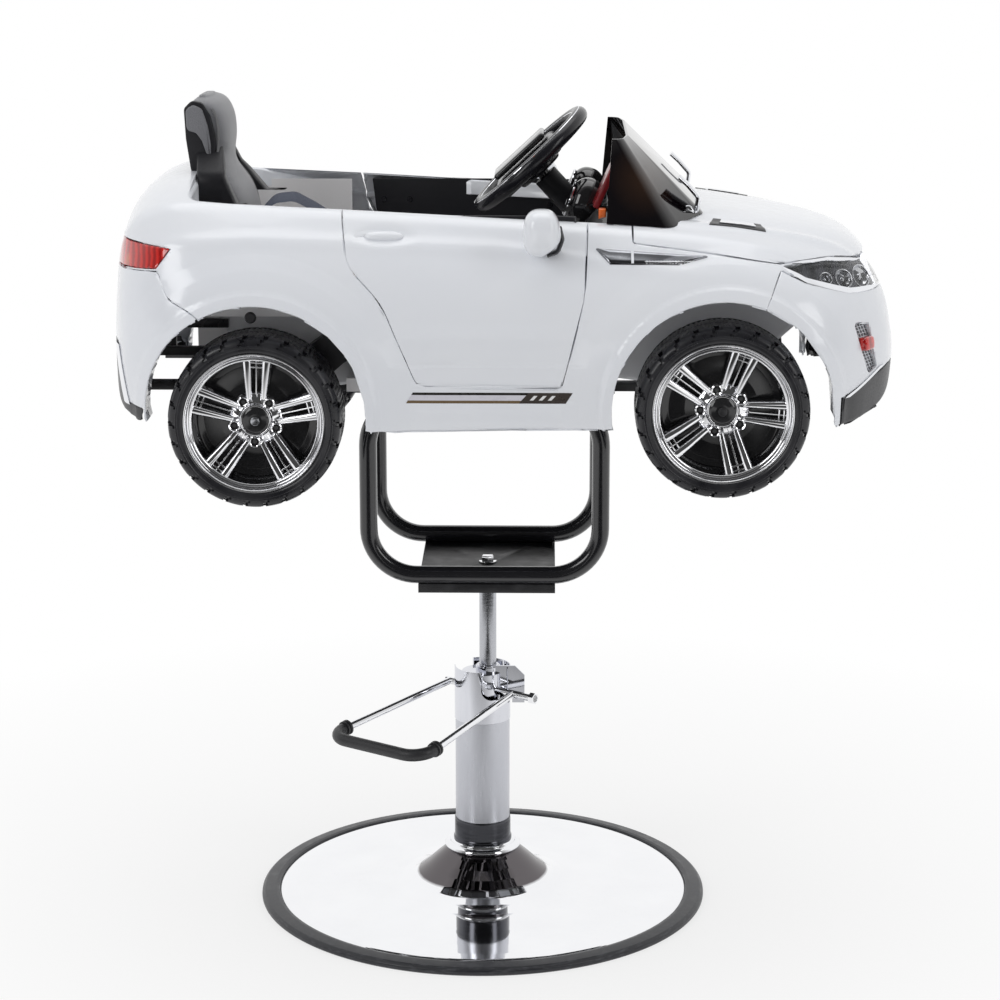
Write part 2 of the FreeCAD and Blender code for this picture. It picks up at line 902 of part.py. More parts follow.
# The shelf over the rear wheel runs forward to a riser that closes it off from the foot well
def wheel_shelf():
    half = cockpit_half - run_gap
    inner = tub_low_half - tub_sheet
    riser_x = seat_zone_front
    shelf = block(tub_wall_front() - over, riser_x, inner, half, tub_step, tub_step + tub_sheet)
    return shelf.fuse(block(riser_x - tub_sheet, riser_x, inner, half, floor_level, tub_step + tub_sheet))


def cockpit_tub():
    tub = tub_shape(0, 0).cut(tub_shape(tub_sheet, far_out))
    wall_top = tub_wall_top - firewall_drop
    half = cockpit_half - run_gap
    front = cockpit_front - run_gap
    firewall = block(front - tub_sheet, front, -half, half, floor_level, wall_top)
    return largest(tub.fuse([firewall, wheel_shelf(), mirrored(wheel_shelf())]).removeSplitter())


# Windscreen: a wrap-round visor moulding that stands on the cowl, open to the rear
screen_sheet = 3.0
screen_low_share = 0.731
screen_height = 140.0
screen_low = car_bottom + car_body_height * screen_low_share
screen_high = screen_low + screen_height
screen_low_rear = 170.0
screen_low_front = 345.0
screen_low_half = 230.0
screen_high_rear = 180.0
screen_high_front = 203.0
screen_high_half = 148.0
screen_corner_run_share = 0.62
screen_corner_half_share = 0.66
screen_low_bend = 40.0
screen_high_bend = 14.0
hinge_width = 26.0
hinge_half = 136.0
hinge_rear = 270.0
hinge_front = 312.0
hinge_low_rise = 32.0
hinge_block_height = 54.0
hinge_low = screen_low + hinge_low_rise
hinge_high = hinge_low + hinge_block_height


def screen_ring(rear, front, half, bend, inset, level, back):
    run = front - rear
    side_x = rear + run * screen_corner_run_share
    nose_half = half * screen_corner_half_share
    points = (
        (rear - back, -half + inset),
        (side_x, -half + inset),
        (front - inset, -nose_half),
        (front - inset, nose_half),
        (side_x, half - inset),
        (rear - back, half - inset),
    )
    wire = rounded_wire(points, (0, bend, bend, bend, bend, 0), in_plan)
    wire.translate(vec(0, 0, level))
    return wire


def screen_form(inset, back):
    low = screen_ring(
        screen_low_rear, screen_low_front, screen_low_half, screen_low_bend, inset, screen_low, back
    )
    high = screen_ring(
        screen_high_rear, screen_high_front, screen_high_half, screen_high_bend, inset, screen_high, back
    )
    return Part.makeLoft([low, high], True, True)


def windscreen(form):
    visor = screen_form(0, 0).cut(screen_form(screen_sheet, over))
    visor = visor.cut(body_form(-seam_gap))
    return largest(visor)


# Bright hinge blocks where the screen's front corners meet the bonnet
def screen_hinges():
    points = (
        (hinge_rear, hinge_low),
        (hinge_front, hinge_low),
        (hinge_front, (hinge_low + hinge_high) / 2),
        (hinge_rear, hinge_high),
    )
    outer_y = -hinge_half - hinge_width / 2
    block_right = side_prism(points, panel_bend, outer_y, outer_y + hinge_width)
    block_right = block_right.cut([screen_form(-seam_gap, 0), body_form(-seam_gap)])
    right = largest(block_right)
    return Part.makeCompound([right, mirrored(right)])


# Steering: the wheel's own frame has its axis along +Z, towards the driver
steering_x = 69.0
steering_rise = 53.0
steering_z = tub_wall_top + steering_rise
steering_tilt = -42.8
steering_rim_radius = 93.0
steering_tube_radius = 11.0
steering_rim_sides = 12
steering_hub_radius = 34.0
steering_hub_height = 22.0
steering_spoke_width = 26.0
steering_spoke_sheet = 9.0
steering_drop = 14.0
steering_turns = (0, 180, 90)
horn_radius = 24.0
horn_height = 9.0
horn_pocket = 7.0
horn_gap = 0.6
horn_stroke = 3.0
shaft_radius = 9.0
shaft_length = 62.0
column_tube_radius = 18.0
column_near = 30.0
column_far = 118.0


def seat_steering(shape):
    shape.rotate(vec(0, 0, 0), vec(0, 1, 0), steering_tilt)
    shape.translate(vec(steering_x, 0, steering_z))
    return shape


def steering_wheel():
    rim_spots = []
    for corner in range(steering_rim_sides):
        angle = 2 * math.pi * corner / steering_rim_sides
        out = steering_rim_radius + steering_tube_radius * math.cos(angle)
        rim_spots.append((out, steering_tube_radius * math.sin(angle)))
    wheel = turned(rim_spots, 0)
    low = -steering_drop
    for turn in steering_turns:
        half = steering_spoke_width / 2
        spoke = block(
            steering_hub_radius / 2, steering_rim_radius, -half, half, low, low + steering_spoke_sheet
        )
        spoke.rotate(vec(0, 0, 0), vec(0, 0, 1), turn + 90)
        wheel = wheel.fuse(spoke)
    hub_top = low + steering_hub_height
    hub = turned(
        ((0, low - steering_spoke_sheet), (steering_hub_radius, low - steering_spoke_sheet),
         (steering_hub_radius, hub_top), (0, hub_top)),
        (0, panel_bend, 2 * panel_bend, 0),
    )
    wheel = wheel.fuse([hub, post(shaft_radius, low - shaft_length, low)])
    return seat_steering(wheel.cut(post(horn_radius + horn_gap, hub_top - horn_pocket, hub_top + over)))


def horn_pad():
    base = steering_hub_height - steering_drop - horn_pocket + horn_stroke + horn_gap
    top = base + horn_height
    shoulder = top - horn_stroke
    crown = Part.makeCone(horn_radius, horn_radius / 2, horn_stroke, vec(0, 0, shoulder))
    return seat_steering(post(horn_radius, base, shoulder).fuse(crown))


def steering_column():
    tube = post(column_tube_radius, -column_far, -column_near)
    return seat_steering(tube.cut(post(shaft_radius + run_gap, -steering_drop - shaft_length - run_gap, 0)))


# Dashboard: a hollow moulding between the side walls with two instrument pods
dash_rear = 128.0
dash_low_drop = 112.0
dash_nose_drop = 38.0
dash_top_drop = 2.0
dash_low = tub_wall_top - dash_low_drop
dash_nose = tub_wall_top - dash_nose_drop
dash_top = tub_wall_top - dash_top_drop
dash_sheet = 4.0
dash_bend = 14.0
dash_half = cockpit_half - card_sheet - run_gap
pod_radius = 33.0
pod_tail_radius = 24.0
pod_y = 62.0
pod_length = 56.0
pod_x = 122.0
pod_rise = 16.0
pod_z = tub_wall_top + pod_rise
pod_tilt = 104.0


def dash_outline(inset):
    front = cockpit_front - tub_sheet - 2 * run_gap
    return (
        (dash_rear + inset, dash_nose),
        (dash_rear + inset + (dash_top - dash_nose), dash_top - inset),
        (front - inset, dash_top - inset),
        (front - inset, dash_low - (over if inset else 0)),
        (dash_rear + inset + (dash_top - dash_nose), dash_low - (over if inset else 0)),
    )


def dashboard():
    bends = (dash_bend, dash_bend, 0, 0, 0)
    shell = side_prism(dash_outline(0), bends, -dash_half, dash_half)
    inner_bends = (dash_bend / 2, dash_bend / 2, 0, 0, 0)
    inner_half = dash_half - dash_sheet
    shell = shell.cut(side_prism(dash_outline(dash_sheet), inner_bends, -inner_half, inner_half))
    for side in (-pod_y, pod_y):
        pod = Part.makeCone(pod_radius, pod_tail_radius, pod_length)
        pod.rotate(vec(0, 0, 0), vec(0, 1, 0), pod_tilt)
        pod.translate(vec(pod_x, side, pod_z))
        shell = shell.fuse(pod)
    shell = shell.cut(seat_steering(post(column_tube_radius, -column_far, -column_near)))
    return largest(shell.cut(screen_form(-seam_gap, 0).cut(screen_form(screen_sheet + seam_gap, over))))


# Seat: a moulded bucket back with a crowned pad, and a cushion on the floor
seat_low = floor_level + tub_sheet + run_gap
seat_back_low_x = cockpit_rear + tub_sheet + 2 * run_gap
seat_back_top_x = -402.0
seat_top = 1192.0
seat_shoulder = 1092.0
seat_neck = 1138.0
seat_front_low_x = -296.0
seat_front_mid_x = -322.0
seat_front_mid_z = 1040.0
seat_front_shoulder_x = -350.0
seat_front_top_x = -370.0
seat_half = 112.0
seat_head_half = 62.0
seat_shell_sheet = 7.0
seat_bolster = 24.0
seat_foot_rise = 1085.0
bucket_round_share = 0.55
pad_low = 884.0
pad_crown = 15.0
pad_inset = 8.0
pad_stations_shares = (
    (0.000, 0.92, 0.60), (0.280, 0.98, 0.90), (0.600, 0.98, 1.00),
    (0.720, 0.90, 0.30), (0.860, 0.90, 1.00), (0.975, 0.80, 0.40),
)


def seat_side_outline(inset):
    return (
        (seat_back_low_x + inset, seat_low),
        (seat_back_low_x + inset, seat_foot_rise),
        (seat_back_top_x + inset, seat_top),
        (seat_front_top_x, seat_top),
        (seat_front_shoulder_x, seat_shoulder),
        (seat_front_mid_x, seat_front_mid_z),
        (seat_front_low_x, pad_low),
        (seat_front_low_x, seat_low),
    )


def seat_front_outline(inset):
    half = seat_half - inset
    head = seat_head_half - inset
    top = seat_top - inset
    low = seat_low - (over if inset else 0)
    return (
        (-half, low), (half, low), (half, seat_shoulder), (head, seat_neck),
        (head, top), (-head, top), (-head, seat_neck), (-half, seat_shoulder),
    )


def bucket_bends(inset):
    head = (seat_head_half - inset) * bucket_round_share
    return (0, 0, head, head / 2, head, head, head / 2, head)


def seat_bucket(inset):
    width = front_prism(seat_front_outline(inset), bucket_bends(inset), -far_out - over, 0)
    depth = side_prism(seat_side_outline(inset and seat_shell_sheet), 0, -seat_half, seat_half)
    return width.common(depth)


def seat_shell():
    bucket = seat_bucket(0)
    hollow = seat_bucket(seat_bolster)
    return largest(bucket.cut(hollow))


# One level of the back pad: flat behind, straight sides and a crowned face
def pad_wire(shares):
    rise, width, crown = shares
    level = pad_low + (seat_top - pad_low) * rise
    half = (seat_half - seat_bolster - run_gap) * width
    lean = max(0, (level - seat_foot_rise) / (seat_top - seat_foot_rise))
    back = seat_back_low_x + (seat_back_top_x - seat_back_low_x) * lean + seat_shell_sheet + run_gap
    front_reach = seat_front_low_x + (seat_front_top_x - seat_front_low_x) * rise - pad_inset
    bulge = pad_crown * crown
    return Part.Wire([
        Part.makeLine(vec(back, half, level), vec(back, -half, level)),
        Part.makeLine(vec(back, -half, level), vec(front_reach - bulge, -half, level)),
        Part.Arc(
            vec(front_reach - bulge, -half, level),
            vec(front_reach, 0, level),
            vec(front_reach - bulge, half, level),
        ).toShape(),
        Part.makeLine(vec(front_reach - bulge, half, level), vec(back, half, level)),
    ])


def seat_pad():
    pad = Part.makeLoft([pad_wire(shares) for shares in pad_stations_shares], True, True)
    inset = seat_bolster + run_gap
    opening = front_prism(seat_front_outline(inset), bucket_bends(inset), -far_out - over, 0)
    depth = side_prism(seat_side_outline(seat_shell_sheet + run_gap), 0, -seat_half, seat_half)
    return largest(pad.common(opening).common(depth))


cushion_rear = -290.0
cushion_front = -172.0
cushion_half = 108.0
cushion_top = 880.0
cushion_crown = 16.0
cushion_stations_shares = (
    (0.0, 0.86, 0.3), (0.15, 0.98, 0.8), (0.5, 1.0, 1.0), (0.85, 0.98, 0.8), (1.0, 0.88, 0.2),
)


def cushion_wire(shares):
    run, width, crown = shares
    x = cushion_rear + (cushion_front - cushion_rear) * run
    half = cushion_half * width
    low = floor_level + tub_sheet + run_gap
    side_top = cushion_top - cushion_crown
    top = side_top + cushion_crown * crown
    return Part.Wire([
        Part.makeLine(vec(x, -half, low), vec(x, half, low)),
        Part.makeLine(vec(x, half, low), vec(x, half, side_top - cushion_crown)),
        Part.Arc(
            vec(x, half, side_top - cushion_crown),
            vec(x, 0, top),
            vec(x, -half, side_top - cushion_crown),
        ).toShape(),
        Part.makeLine(vec(x, -half, side_top - cushion_crown), vec(x, -half, low)),
    ])


def seat_cushion():
    return Part.makeLoft([cushion_wire(shares) for shares in cushion_stations_shares], True, True)


# Lap belt: a flat webbing strap that rises from the seat's side and drops inside the side wall
belt_width = 26.0
belt_sheet = 1.6
belt_y = -170.0
belt_rear = -322.0
belt_rise_x = -262.0
belt_front = -203.0
belt_low = tub_step + tub_sheet + run_gap
belt_rise = 4.0
belt_peak = tub_wall_top + belt_rise
belt_bend = 22.0


def belt_line(offset):
    return (
        (belt_rear + offset, belt_low),
        (belt_rear + offset, belt_peak - belt_width),
        (belt_rise_x, belt_peak - offset),
        (belt_front - offset, belt_peak - belt_width),
        (belt_front - offset, belt_low),
    )


def belt_strap():
    outer = belt_line(0)
    inner = belt_line(belt_sheet)
    strap = side_prism(outer, (0, belt_bend, belt_bend, belt_bend, 0), belt_y, belt_y + belt_width)
    inner_bend = belt_bend - belt_sheet
    under = side_prism(inner, (0, inner_bend, inner_bend, inner_bend, 0), belt_y, belt_y + belt_width)
    return largest(strap.cut(under))


# Chassis: two rails on top of the cradle loops, a front beam with kingpin seats and axle hangers
rail_half_width = 10.0
rail_height = 12.0
rail_rear = -470.0
beam_half_length = 18.0
beam_half = 180.0
beam_sheet = 11.7
beam_web_inner = 134.0
beam_web_outer = 144.0
kingpin_y = 168.0
kingpin_radius = 5.0
knuckle_half = 13.0
hanger_half_length = 12.0
bumper_arm_half = 6.0
bumper_arm_y = 150.0
bumper_arm_front = -345.0
bumper_arm_levels = (848.0, 887.0)
axle_end = 272.0


def chassis_rails():
    rail_low = loop_top
    rail_high = rail_low + rail_height
    frame = []
    beam_rear = front_hub_x - beam_half_length
    beam_front = front_hub_x + beam_half_length
    high = rail_high
    low = 2 * front_hub_z - rail_high
    for side in (-1, 1):
        y0 = side * loop_y - rail_half_width
        frame.append(block(rail_rear, beam_front, y0, y0 + 2 * rail_half_width, rail_low, rail_high))
        hanger = block(
            rear_hub_x - hanger_half_length, rear_hub_x + hanger_half_length,
            y0, y0 + 2 * rail_half_width, rear_hub_z - hanger_half_length, rail_low + tiny,
        )
        frame.append(hanger)
        web = sorted((side * beam_web_inner, side * beam_web_outer))
        frame.append(block(beam_rear, beam_front, web[0], web[1], low - beam_sheet, high + beam_sheet))
        lower = sorted((side * beam_web_inner, side * beam_half))
        frame.append(block(beam_rear, beam_front, lower[0], lower[1], low - beam_sheet, low))
        for level in bumper_arm_levels:
            y0 = side * bumper_arm_y - bumper_arm_half
            frame.append(block(
                rail_rear, bumper_arm_front, y0, y0 + 2 * bumper_arm_half,
                level - bumper_arm_half, level + bumper_arm_half,
            ))
        post_y = side * bumper_arm_y - bumper_arm_half
        frame.append(block(
            rail_rear, rail_rear + 2 * bumper_arm_half, post_y, post_y + 2 * bumper_arm_half,
            rail_low, max(bumper_arm_levels),
        ))
        foot = sorted((side * (loop_y - rail_half_width), side * (bumper_arm_y + bumper_arm_half)))
        frame.append(block(rail_rear, rail_rear + 2 * bumper_arm_half, foot[0], foot[1], rail_low, rail_high))
    frame.append(block(beam_rear, beam_front, -beam_half, beam_half, high, high + beam_sheet))
    whole = frame[0].fuse(frame[1:]).removeSplitter()
    whole = whole.cut(cross_bar(axle_radius + run_gap, rear_hub_x, rear_hub_z, -beam_half, beam_half))
    for side in (-kingpin_y, kingpin_y):
        whole = whole.cut(post(kingpin_radius + run_gap, low - far_out, high + far_out, front_hub_x, side))
    return largest(whole)


def knuckle_right():
    high = loop_top + rail_height - run_gap
    low = 2 * front_hub_z - high
    knuckle = rounded_block(
        front_hub_x - knuckle_half, front_hub_x + knuckle_half,
        -kingpin_y - knuckle_half, -kingpin_y + knuckle_half, low, high, panel_bend,
    )
    knuckle = knuckle.fuse(post(kingpin_radius, low - beam_sheet, high + beam_sheet, front_hub_x, -kingpin_y))
    return knuckle.fuse(cross_bar(axle_radius, front_hub_x, front_hub_z, -axle_end, -kingpin_y))


def rear_axle():
    return cross_bar(axle_radius, rear_hub_x, rear_hub_z, -axle_end, axle_end)


# Rear drive: a gearbox round the axle with its motor above and ahead of it
gearbox_inner = 130.0
gearbox_outer = 178.0
gearbox_radius = 29.0
motor_x = -196.0
motor_z = 858.0
motor_radius = 23.0
motor_inner = 124.0
motor_outer = 186.0


def gearbox_right():
    run = math.hypot(motor_x - rear_hub_x, motor_z - rear_hub_z)
    angle = math.atan2(motor_z - rear_hub_z, motor_x - rear_hub_x)
    lean = math.acos((gearbox_radius - motor_radius) / run)
    points = []
    for turn, x, z, radius in (
        (angle + lean, rear_hub_x, rear_hub_z, gearbox_radius),
        (angle + lean, motor_x, motor_z, motor_radius),
        (angle - lean, motor_x, motor_z, motor_radius),
        (angle - lean, rear_hub_x, rear_hub_z, gearbox_radius),
    ):
        points.append((x + radius * math.cos(turn), z + radius * math.sin(turn)))
    case = side_prism(points, 0, -gearbox_outer, -gearbox_inner)
    case = case.fuse([
        cross_bar(gearbox_radius, rear_hub_x, rear_hub_z, -gearbox_outer, -gearbox_inner),
        cross_bar(motor_radius, motor_x, motor_z, -motor_outer, -motor_inner),
    ])
    return largest(case.cut(cross_bar(axle_radius + run_gap, rear_hub_x, rear_hub_z, -far_out, 0)))


def gearboxes():
    right = gearbox_right()
    return Part.makeCompound([right, mirrored(right)])


# Wheels: a tyre and a five-spoke rim, built about +Z and turned to face outwards
rim_sheet = 5.0
rim_lip = 3.0
tyre_shoulder = 10.0
tyre_wall_inset = 5.0
hub_radius_wheel = 30.0
hub_back = 6.0
hub_face = 34.0
cap_radius = 18.0
cap_height = 5.0
spoke_count = 5
spoke_turn = 15.0
spoke_width = 10.0
spoke_gap = 9.0
spoke_back = 20.0
spoke_face = 40.0
spoke_reach = 91.0
lug_count = 5
lug_circle = 25.0
lug_radius = 4.0
lug_height = 3.0


def seat_wheel(shape, x, z, side):
    shape.rotate(vec(0, 0, 0), vec(1, 0, 0), -side * 90)
    shape.translate(vec(x, side * wheel_y, z))
    return shape


def tyre():
    half = wheel_width / 2
    wall = rim_radius + tyre_wall_inset
    crown = half - 2 * tyre_shoulder
    shoulder = half - tyre_wall_inset / 2
    points = (
        (rim_radius, -half + tyre_wall_inset),
        (wall, -half),
        (wheel_radius - tyre_shoulder, -half + run_gap),
        (wheel_radius - tyre_wall_inset / 2, tyre_shoulder - shoulder),
        (wheel_radius, -crown),
        (wheel_radius, crown),
        (wheel_radius - tyre_wall_inset / 2, shoulder - tyre_shoulder),
        (wheel_radius - tyre_shoulder, half - run_gap),
        (wall, half),
        (rim_radius, half - tyre_wall_inset),
    )
    return turned(points, 0)


def rim():
    half = wheel_width / 2 - tyre_wall_inset
    inner = rim_radius - rim_sheet
    points = (
        (inner, -half),
        (rim_radius, -half),
        (rim_radius, half),
        (rim_radius - rim_lip, half + rim_lip),
        (inner - rim_lip, half + rim_lip),
        (inner - rim_lip, half - 2 * rim_lip),
        (inner, half - 4 * rim_lip),
    )
    wheel = turned(points, 0)
    solids = [post(hub_radius_wheel, hub_back, hub_face), post(cap_radius, hub_face, hub_face + cap_height)]
    spoke_points = (
        (hub_radius_wheel - rim_sheet, spoke_back - rim_sheet),
        (spoke_reach, spoke_back),
        (spoke_reach, spoke_face),
        (hub_radius_wheel - rim_sheet, hub_face - tiny),
    )
    for turn in range(spoke_count):
        for side in (-1, 1):
            y0 = side * (spoke_gap + spoke_width) / 2 - spoke_width / 2
            bar = side_prism(spoke_points, 0, y0, y0 + spoke_width)
            bar.rotate(vec(0, 0, 0), vec(0, 0, 1), spoke_turn + 360 * turn / spoke_count)
            solids.append(bar)
    for turn in range(lug_count):
        angle = math.radians(spoke_turn + 180 / lug_count + 360 * turn / lug_count)
        x = lug_circle * math.cos(angle)
        y = lug_circle * math.sin(angle)
        solids.append(post(lug_radius, hub_face - tiny, hub_face + lug_height, x, y))
    wheel = wheel.fuse(solids)
    bore = post(axle_radius + run_gap, hub_back - over, axle_end - wheel_y + run_gap)
    return largest(wheel.cut(bore))


# Mirrors: a shell-shaped head on a short arm from the door
mirror_x = 85.0
mirror_share = 0.81875
mirror_z = car_bottom + car_body_height * mirror_share
mirror_inner = 250.0
mirror_outer = 312.0
mirror_half_x = 23.0
mirror_half_z = 31.0
mirror_stations_shares = ((0.0, 0.62), (0.25, 0.95), (0.65, 1.0), (0.9, 0.72), (1.0, 0.42))
mirror_bend_share = 0.6
arm_x0 = 92.0
arm_x1 = 112.0
arm_drop = 32.0
arm_height = 18.0
arm_z0 = mirror_z - arm_drop
arm_z1 = arm_z0 + arm_height
arm_inner = 235.0


def mirror_section(shares):
    run, size = shares
    half_x = mirror_half_x * size
    half_z = mirror_half_z * size
    points = (
        (mirror_x - half_x, mirror_z - half_z),
        (mirror_x + half_x, mirror_z - half_z),
        (mirror_x + half_x, mirror_z + half_z),
        (mirror_x - half_x, mirror_z + half_z),
    )
    wire = rounded_wire(points, half_x * mirror_bend_share, in_side)
    wire.translate(vec(0, -mirror_inner - (mirror_outer - mirror_inner) * run, 0))
    return wire


def mirror_right():
    head = Part.makeLoft([mirror_section(shares) for shares in mirror_stations_shares], True, True)
    arm = rounded_block(arm_x0, arm_x1, -mirror_inner - 2 * panel_bend, -arm_inner, arm_z0, arm_z1, panel_bend)
    return largest(head.fuse(arm).cut(body_form(-tiny)))


def wheels():
    nodes = {}
    for end, x, z in (("rear", rear_hub_x, rear_hub_z), ("front", front_hub_x, front_hub_z)):
        for side_name, side in (("right", -1), ("left", 1)):
            nodes["tyre_" + end + "_" + side_name] = seat_wheel(tyre(), x, z, side)
            nodes["rim_" + end + "_" + side_name] = seat_wheel(rim(), x, z, side)
    return nodes


def all_nodes():
    form = body_form(0)
    shell = whole_shell(form)
    band = lamp_band(form)
    nodes = {
        "base_plate": base_plate(),
        "base_pan": base_pan(),
        "base_rim_ring": base_rim_ring(),
        "base_flange": base_flange(),
        "pump_collar": pump_collar(),
        "sleeve_lower": sleeve_lower(),
        "sleeve_upper": sleeve_upper(),
        "pump_body": pump_body(),
        "lever_rod": lever_rod(),
        "lever_grip": lever_grip(),
        "ram": ram(),
        "swivel_bolt": swivel_bolt(),
        "swivel_hub": swivel_hub(),
        "cradle_plate": cradle_plate(),
        "loop_right": loop_right(),
        "loop_left": loop_left(),
        "body_shell": body_shell(shell),
        "cockpit_tub": cockpit_tub(),
        "bonnet": bonnet(shell),
        "front_bumper": front_bumper(shell),
        "front_skid": front_skid(form),
        "grille": grille(),
        "rear_bumper": rear_bumper(shell),
        "rear_diffuser": rear_diffuser(form),
        "fog_lamps": fog_lamps(band),
        "side_trims": side_trims(form),
        "bonnet_vents": bonnet_vents(form),
        "windscreen": windscreen(form),
        "screen_hinges": screen_hinges(),
        "dashboard": dashboard(),
        "steering_column": steering_column(),
        "steering_wheel": steering_wheel(),
        "horn_pad": horn_pad(),
        "seat_shell": seat_shell(),
        "seat_pad": seat_pad(),
        "seat_cushion": seat_cushion(),
        "belt_strap": belt_strap(),
        "chassis_rails": chassis_rails(),
        "gearboxes": gearboxes(),
        "rear_axle": rear_axle(),
    }
    pairs = {
        "headlamp": headlamp_right(band),
        "tail_lamp": tail_lamp_right(band),
        "door": door_right(shell, form),
        "door_card": door_card_right(),
        "mirror": mirror_right(),
        "knuckle": knuckle_right(),
    }
    for name, right in pairs.items():
        nodes[name + "_right"] = right
        nodes[name + "_left"] = mirrored(right)
    nodes.update(wheels())
    return nodes


os.makedirs("parts", exist_ok=True)
for node_name, node_shape in all_nodes().items():
    node_shape.exportStep("parts/" + node_name + ".step")
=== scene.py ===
import math

import bmesh
import bpy
import numpy as np
from mathutils import Matrix, Vector
from mathutils.bvhtree import BVHTree


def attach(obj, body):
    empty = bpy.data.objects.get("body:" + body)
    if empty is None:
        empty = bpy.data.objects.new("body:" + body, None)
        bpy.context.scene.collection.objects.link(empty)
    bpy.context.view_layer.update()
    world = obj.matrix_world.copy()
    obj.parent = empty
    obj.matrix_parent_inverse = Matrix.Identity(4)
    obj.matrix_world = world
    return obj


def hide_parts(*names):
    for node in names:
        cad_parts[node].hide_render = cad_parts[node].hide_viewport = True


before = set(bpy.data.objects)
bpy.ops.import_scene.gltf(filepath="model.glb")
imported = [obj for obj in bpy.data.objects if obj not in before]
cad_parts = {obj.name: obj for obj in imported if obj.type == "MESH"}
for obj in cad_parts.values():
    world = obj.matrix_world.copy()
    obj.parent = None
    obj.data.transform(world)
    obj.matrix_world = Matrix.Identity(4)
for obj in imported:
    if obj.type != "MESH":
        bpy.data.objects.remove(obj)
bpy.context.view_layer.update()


# Base rim: a black rubber edging pressed round the rim of the floor disc, bevelled on top.
# Sizes are in millimetres, as in the part's source, and install() brings them to metres.
# The finishes start here: Signal is a shader socket, Finish lays down one material's nodes.
class Signal:
    def __init__(self, finish, socket):
        self.finish = finish
        self.socket = socket

    def math(self, operation, *others):
        return self.finish.node("ShaderNodeMath", {"operation": operation}, [self, *others])

    def __add__(self, other):
        return self.math("ADD", other)

    def __sub__(self, other):
        return self.math("SUBTRACT", other)

    def __rsub__(self, other):
        return self.math("MULTIPLY_ADD", -1.0, other)

    def __mul__(self, other):
        return self.math("MULTIPLY", other)

    def __truediv__(self, other):
        return self.math("DIVIDE", other)

    def __pow__(self, other):
        return self.math("POWER", other)

    __radd__ = __add__
    __rmul__ = __mul__


class Finish:
    def __init__(self, name, colour, roughness, metallic=0.0, **constants):
        self.material = bpy.data.materials.new(name)
        self.material.use_nodes = True
        self.tree = self.material.node_tree
        self.shader = self.tree.nodes["Principled BSDF"]
        self.feed("Base Color", (*colour, 1.0))
        self.feed("Roughness", roughness)
        self.feed("Metallic", metallic)
        for socket, value in constants.items():
            self.feed(socket.replace("_", " "), value)

    def feed(self, socket, value):
        if isinstance(socket, str):
            socket = self.shader.inputs[socket]
        if isinstance(value, Signal):
            self.tree.links.new(value.socket, socket)
        else:
            socket.default_value = value

    def node(self, kind, settings=None, inputs=(), output=0):
        made = self.tree.nodes.new(kind)
        for setting, value in (settings or {}).items():
            if setting == "stops":
                for spot, (position, colour) in enumerate(value):
                    elements = made.color_ramp.elements
                    element = elements[spot] if spot < 2 else elements.new(position)
                    element.position = position
                    element.color = (*colour, 1.0)
            else:
                setattr(made, setting, value)
        for socket, value in inputs.items() if isinstance(inputs, dict) else enumerate(inputs):
            self.feed(made.inputs[socket], value)
        return Signal(self, made.outputs[output])

    def place(self):
        return self.node("ShaderNodeTexCoord", output="Object")

    def axis(self, name):
        return self.node("ShaderNodeSeparateXYZ", inputs=[self.place()], output=name)

    def stretch(self, scale):
        return self.node("ShaderNodeMapping", inputs={"Vector": self.place(), "Scale": scale})

    def noise(self, scale, detail=3.0, vector=None):
        sockets = {"Vector": vector or self.place(), "Scale": scale, "Detail": detail}
        return self.node("ShaderNodeTexNoise", inputs=sockets)

    def span(self, value, low, high, to_low=0.0, to_high=1.0):
        return self.node("ShaderNodeMapRange", inputs=[value, low, high, to_low, to_high])

    def shades(self, factor, first, second):
        colours = {0: factor, 6: (*first, 1.0), 7: (*second, 1.0)}
        return self.node("ShaderNodeMix", {"data_type": "RGBA"}, colours, output=2)

    def bump(self, height, strength, distance=0.001, over=None):
        sockets = {"Height": height, "Strength": strength, "Distance": distance}
        if over:
            sockets["Normal"] = over
        return self.node("ShaderNodeBump", inputs=sockets)


# Handling dust and wear: a slow change of colour and gloss with fine grain over it
def aged(finish, colour, worn, roughness, spread, grain_scale, grain, patch_scale=9.0):
    patches = finish.span(finish.noise(patch_scale, 4.0), 0.35, 0.7)
    finish.feed("Base Color", finish.shades(patches, colour, worn))
    fine = finish.noise(grain_scale, 2.0)
    finish.feed("Roughness", patches * spread + fine * spread + (roughness - spread))
    finish.feed("Normal", finish.bump(fine, grain))
    return finish


def install(name, bm, material, body, stands_for=(), crease=35.0):
    bmesh.ops.scale(bm, vec=(0.001, 0.001, 0.001), verts=bm.verts)
    mesh = bpy.data.meshes.new(name)
    bm.to_mesh(mesh)
    bm.free()
    mesh.shade_smooth()
    mesh.set_sharp_from_angle(angle=math.radians(crease))
    mesh.materials.append(material)
    piece = bpy.data.objects.new(name, mesh)
    bpy.context.scene.collection.objects.link(piece)
    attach(piece, body)
    if stands_for:
        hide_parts(*stands_for)
    return piece


# A closed or open profile of (radius, height) spots spun round the vertical axis
def turned(profile, steps=128, closed=False, bm=None):
    bm = bm or bmesh.new()
    ring = [bm.verts.new((radius, 0.0, height)) for radius, height in profile]
    spans = list(zip(ring, ring[1:])) + ([(ring[-1], ring[0])] if closed else [])
    edges = [bm.edges.new(span) for span in spans]
    spun = bmesh.ops.spin(
        bm, geom=ring + edges, cent=(0, 0, 0), axis=(0, 0, 1), angle=2 * math.pi, steps=steps, use_merge=True
    )
    bmesh.ops.remove_doubles(bm, verts=bm.verts, dist=0.001)
    bmesh.ops.recalc_face_normals(bm, faces=bm.faces)
    return bm


